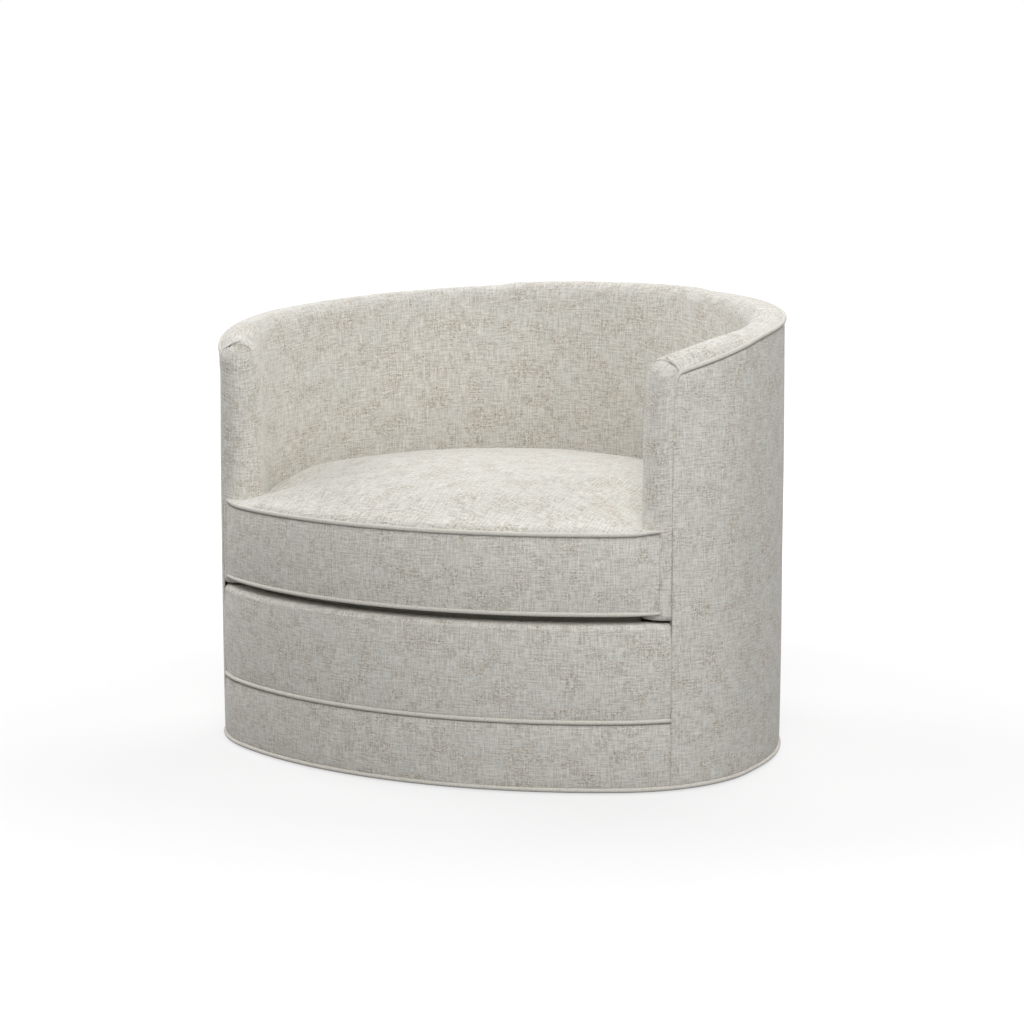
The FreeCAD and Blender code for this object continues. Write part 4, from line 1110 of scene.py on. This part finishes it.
def makeZipTape():
    mesh = bmesh.new()
    offs = [-zipper["halfTape"], -0.0055, -0.003, -0.0004, 0, 0.0004, 0.003, 0.0055, zipper["halfTape"]]
    addPanel(mesh, zipAngles(0, zipper["columns"]), offs,
             lambda angle, off: atZip(zipper["radius"] + zipper["proud"] * (abs(off) < 0.005), angle, off),
             lambda angle, off: (angle * zipper["radius"], off),
             # painted shade along the tape's middle, under the teeth
             lambda angle, off: nearSeam(off, zipper["line"]))
    return backed(asObject(mesh, "zipTape", tapeFinish(), fromAxis), zipper["tape"])


def makeZipTeeth():
    reach = math.radians(zipper["halfAngle"] - zipper["toothInset"])
    angles = zipAngles(zipper["toothInset"], round(2 * reach * zipper["radius"] / zipper["toothPitch"]))
    boxes = []
    for index, angle in enumerate(angles[:-1]):
        off = zipper["toothOff"] if index % 2 else -zipper["toothOff"]
        boxes.append((zipper["tooth"], onZip(zipper["radius"] + zipper["toothProud"], angle, off)))
    brass = metalFinish("zip teeth", (0.50, 0.47, 0.40), 0.35)
    return beveledBoxes("zipTeeth", boxes, zipper["toothBevel"], 1, brass)


def makeSlider():
    place = onZip(zipper["sliderRadius"], math.radians(zipper["slider"]), 0)
    boxes = [(size, place @ Matrix.Translation(spot)) for size, spot in sliderParts]
    nickel = metalFinish("zip slider", (0.62, 0.60, 0.56), 0.28)
    return beveledBoxes("zipSlider", boxes, zipper["sliderBevel"], 2, nickel)


print("zip")
zipTape, zipTeeth, zipSlider = makeZipTape(), makeZipTeeth(), makeSlider()
for piece, body, slot in ((zipTape, "cushion", "zip_tape"), (zipTeeth, "cushion", "zip_metal"),
                          (zipSlider, "zip_slider", "zip_metal")):
    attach(piece, body)
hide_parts("cushion_zip")
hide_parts("zip_slider")

# Zigzag seat springs; each run: its place to the side, its front end, how many loops, and their pitch
springs = {"height": 0.2411, "wire": 0.0019, "half": 0.024, "sides": 8, "turnSteps": 6,
           "runs": [(0.048, -0.35445, 31, 0.02208), (0.144, -0.33616, 29, 0.02193),
                    (0.240, -0.3018, 25, 0.02158)]}


def springPath(x, front, loops, pitch):
    turn = pitch / 2
    half = springs["half"] - turn
    spots = []
    for index in range(loops + 1):
        side = 1 if index % 2 == 0 else -1
        y = front + pitch * index
        spots.append((x - side * half, y))
        if index == loops:
            spots.append((x + side * half, y))
            break
        for angle in even(-math.pi / 2, math.pi / 2, springs["turnSteps"]):
            spots.append((x + side * (half + turn * math.cos(angle)), y + turn + turn * math.sin(angle)))
    return [(Vector((*spot, springs["height"])), up) for spot in spots]


def makeSprings():
    mesh = bmesh.new()
    for x, front, loops, pitch in springs["runs"]:
        for side in (1, -1):
            path = springPath(side * x, front, loops, pitch)
            addTube(mesh, path, False, [springs["wire"]] * len(path), springs["sides"])
    oiled = metalFinish("oiled spring wire", (0.30, 0.30, 0.31), 0.42, 0.15)
    return asObject(capped(mesh), "zigzagSprings", oiled)


print("springs")
zigzagSprings = makeSprings()
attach(zigzagSprings, "chair")
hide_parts("seat_springs")


# Finishes for the frame, the swivel and the boards, which keep their CAD shapes
def scaled(colour, share):
    return tuple(value * share for value in colour)


def woodFinish(name, pale, dark, grain, knots=0.0):
    # grain: cycles a metre along x, y and z, fewest along the board
    wood = Finish(name)
    rings = wood.speckle(grain[0], grain[1], 3.0, grain[2])
    pores = wood.speckle(grain[0] * 7, grain[1] * 7, 2.0, grain[2] * 7)
    figure = rings * 0.7 + pores * 0.15 + wood.grain(9, 2.0) * 0.15
    tone = wood.mix(wood.step(figure, 0.34, 0.66), dark, pale)
    tone = wood.mix(wood.step(pores, 0.60, 0.72) * (0.35 + knots), tone, scaled(dark, 0.45))
    return wood.finished(tone, 0.62 + 0.2 * (1 - pores), rings * 0.5 + pores * 0.5, 0.0002)


def boardFinish(name, pale, dark):
    # pressed fibreboard: short fibres lying every way
    board = Finish(name)
    fibres = board.grain(420, 3.0)
    tone = board.mix(board.step(fibres * 0.7 + board.grain(60, 3.0) * 0.3, 0.36, 0.64), dark, pale)
    return board.finished(tone, 0.85, fibres, 0.0001)


def plasticFinish(name, colour):
    plastic = Finish(name)
    scuffs = plastic.speckle(70, 300, 3.0, 70)
    tone = plastic.mix(plastic.step(scuffs, 0.4, 0.7), colour, scaled(colour, 1.25))
    return plastic.finished(tone, 0.38 + 0.2 * scuffs, plastic.grain(1500, 2.0), 0.00002)


def paintFinish(name, colour):
    paint = Finish(name)
    wear = paint.grain(45, 4.0)
    tone = paint.mix(paint.step(wear, 0.55, 0.75), colour, scaled(colour, 2.2))
    return paint.finished(tone, 0.34 + 0.25 * wear, paint.grain(500, 2.0), 0.00004, Coat_Weight=0.2,
                          Coat_Roughness=0.3)


def finishNodes():
    pale, dark = (0.66, 0.49, 0.31), (0.47, 0.32, 0.18)
    upright = woodFinish("hardwood upright", pale, dark, (150, 150, 9))
    lengthwise = woodFinish("hardwood lengthwise", pale, dark, (9, 150, 150))
    crosswise = woodFinish("hardwood crosswise", pale, dark, (150, 9, 150))
    veneer = woodFinish("plywood", (0.74, 0.60, 0.42), (0.58, 0.43, 0.27), (12, 110, 700), 0.15)
    board = boardFinish("bent fibreboard", (0.50, 0.40, 0.28), (0.34, 0.25, 0.16))
    zinc = metalFinish("zinc plate", (0.60, 0.61, 0.60), 0.38)
    black = paintFinish("black enamel", (0.018, 0.018, 0.019))
    ball = metalFinish("bearing steel", (0.75, 0.75, 0.76), 0.16, 0.05)
    wire = metalFinish("tie wire", (0.34, 0.34, 0.35), 0.42, 0.15)
    nylon = plasticFinish("nylon", (0.30, 0.29, 0.27))
    posts = [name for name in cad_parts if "post_" in name and "screws" not in name]
    finishes = [
        (upright, posts),
        (lengthwise, ["back_seat_rail", "front_seat_rail", "top_rail", "base_bar_lower"]),
        (crosswise, ["side_seat_rail_left", "side_seat_rail_right", "base_bar_upper", "plinth_blocks"]),
        (veneer, ["platform_board", "plinth_ring", "base_ring"]),
        (board, ["outside_backing", "inside_backing", "front_backing"]),
        (zinc, ["base_screws", "lower_plate_screws", "post_screws", "rail_screws", "upper_plate_bolts",
                "swivel_rivet", "spring_clips"]),
        (black, ["lower_swivel_plate", "upper_swivel_plate", "ball_cage"]),
        (ball, ["race_balls"]), (wire, ["tie_wires"]), (nylon, ["floor_glides", "swivel_bush"])]
    for finish, names in finishes:
        for name in names:
            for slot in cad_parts[name].material_slots:
                slot.material = finish
    dressed = {name for finish, names in finishes for name in names}
    print("nodes dressed", len(dressed), "left", sorted(set(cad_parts) - dressed))


finishNodes()

# Camera, light and floor
view = {"place": (2.0021, -3.8683, 0.9757), "turn": (82.051, 0, 27.4235), "lens": 94.74, "sensor": 36,
        "clip": (0.1, 100)}
studio = {"world": 0.31, "floor": 0.25, "floorHalf": 30, "aim": (0, 0, 0.35),
          "glow": 0.70, "farGlow": 0.30, "farFrom": 0.7, "farTo": 2.2,
          "lamps": [("front", (2.1, -3.8, 2.6), 2.4, 75.0), ("left", (-3.0, 0.4, 2.4), 2.0, 58.0),
                    ("back", (0.0, 2.5, 3.4), 2.4, 68.0), ("nearFront", (1.1, -2.1, 2.2), 1.4, 12.0),
                    ("nearRight", (2.3, 0.1, 1.7), 1.2, 12.0), ("nearLeft", (-1.5, -1.9, 2.0), 1.2, 3.0)]}


def placed(name, data, place, turn):
    made = bpy.data.objects.new(name, data)
    made.location = place
    made.rotation_euler = turn
    bpy.context.scene.collection.objects.link(made)
    return made


def makeCamera():
    lens = bpy.data.cameras.new("camera")
    lens.lens, lens.sensor_width = view["lens"], view["sensor"]
    lens.clip_start, lens.clip_end = view["clip"]
    return placed("camera", lens, view["place"], [math.radians(angle) for angle in view["turn"]])


def makeLamps():
    for name, place, size, power in studio["lamps"]:
        lamp = bpy.data.lights.new(name, "AREA")
        lamp.shape, lamp.size, lamp.energy = "DISK", size, power
        aim = (Vector(studio["aim"]) - Vector(place)).to_track_quat("-Z", "Y").to_euler()
        placed(name, lamp, place, aim).visible_camera = False


def makeWorld():
    # white where the camera sees it, a soft fill everywhere else
    world = bpy.data.worlds.new("studio")
    bpy.context.scene.world = world
    sky = Finish("studio", world=world)
    seen = sky.add("ShaderNodeLightPath")
    white, fill = (sky.add("ShaderNodeBackground", None, {0: (1, 1, 1, 1), 1: power})
                   for power in (1.0, studio["world"]))
    both = sky.add("ShaderNodeMixShader", None, {0: seen, 1: fill, 2: white})
    sky.add("ShaderNodeOutputWorld", None, {0: both})


def makeFloor():
    # dull, with a glow that only the camera sees, full white away from the chair
    ground = Finish("floor")
    seen = ground.add("ShaderNodeLightPath")
    dull = ground.add("ShaderNodeBsdfDiffuse", None, {0: (studio["floor"],) * 3 + (1,)})
    away = ground.add("ShaderNodeVectorMath", {"operation": "LENGTH"}, {0: ground.where}, 1)
    far = ground.step(away, studio["farFrom"], studio["farTo"])
    glow = ground.add("ShaderNodeEmission", None, {1: seen * (far * studio["farGlow"] + studio["glow"])})
    both = ground.add("ShaderNodeAddShader", None, {0: dull, 1: glow})
    ground.add("ShaderNodeOutputMaterial", None, {0: both})
    mesh = bmesh.new()
    bmesh.ops.create_grid(mesh, x_segments=2, y_segments=2, size=studio["floorHalf"])
    asObject(mesh, "floor", ground.material, lambda point: up)


bpy.context.scene.view_settings.view_transform = "Standard"
bpy.context.scene.camera = makeCamera()
makeWorld()
makeLamps()
makeFloor()
print("studio")
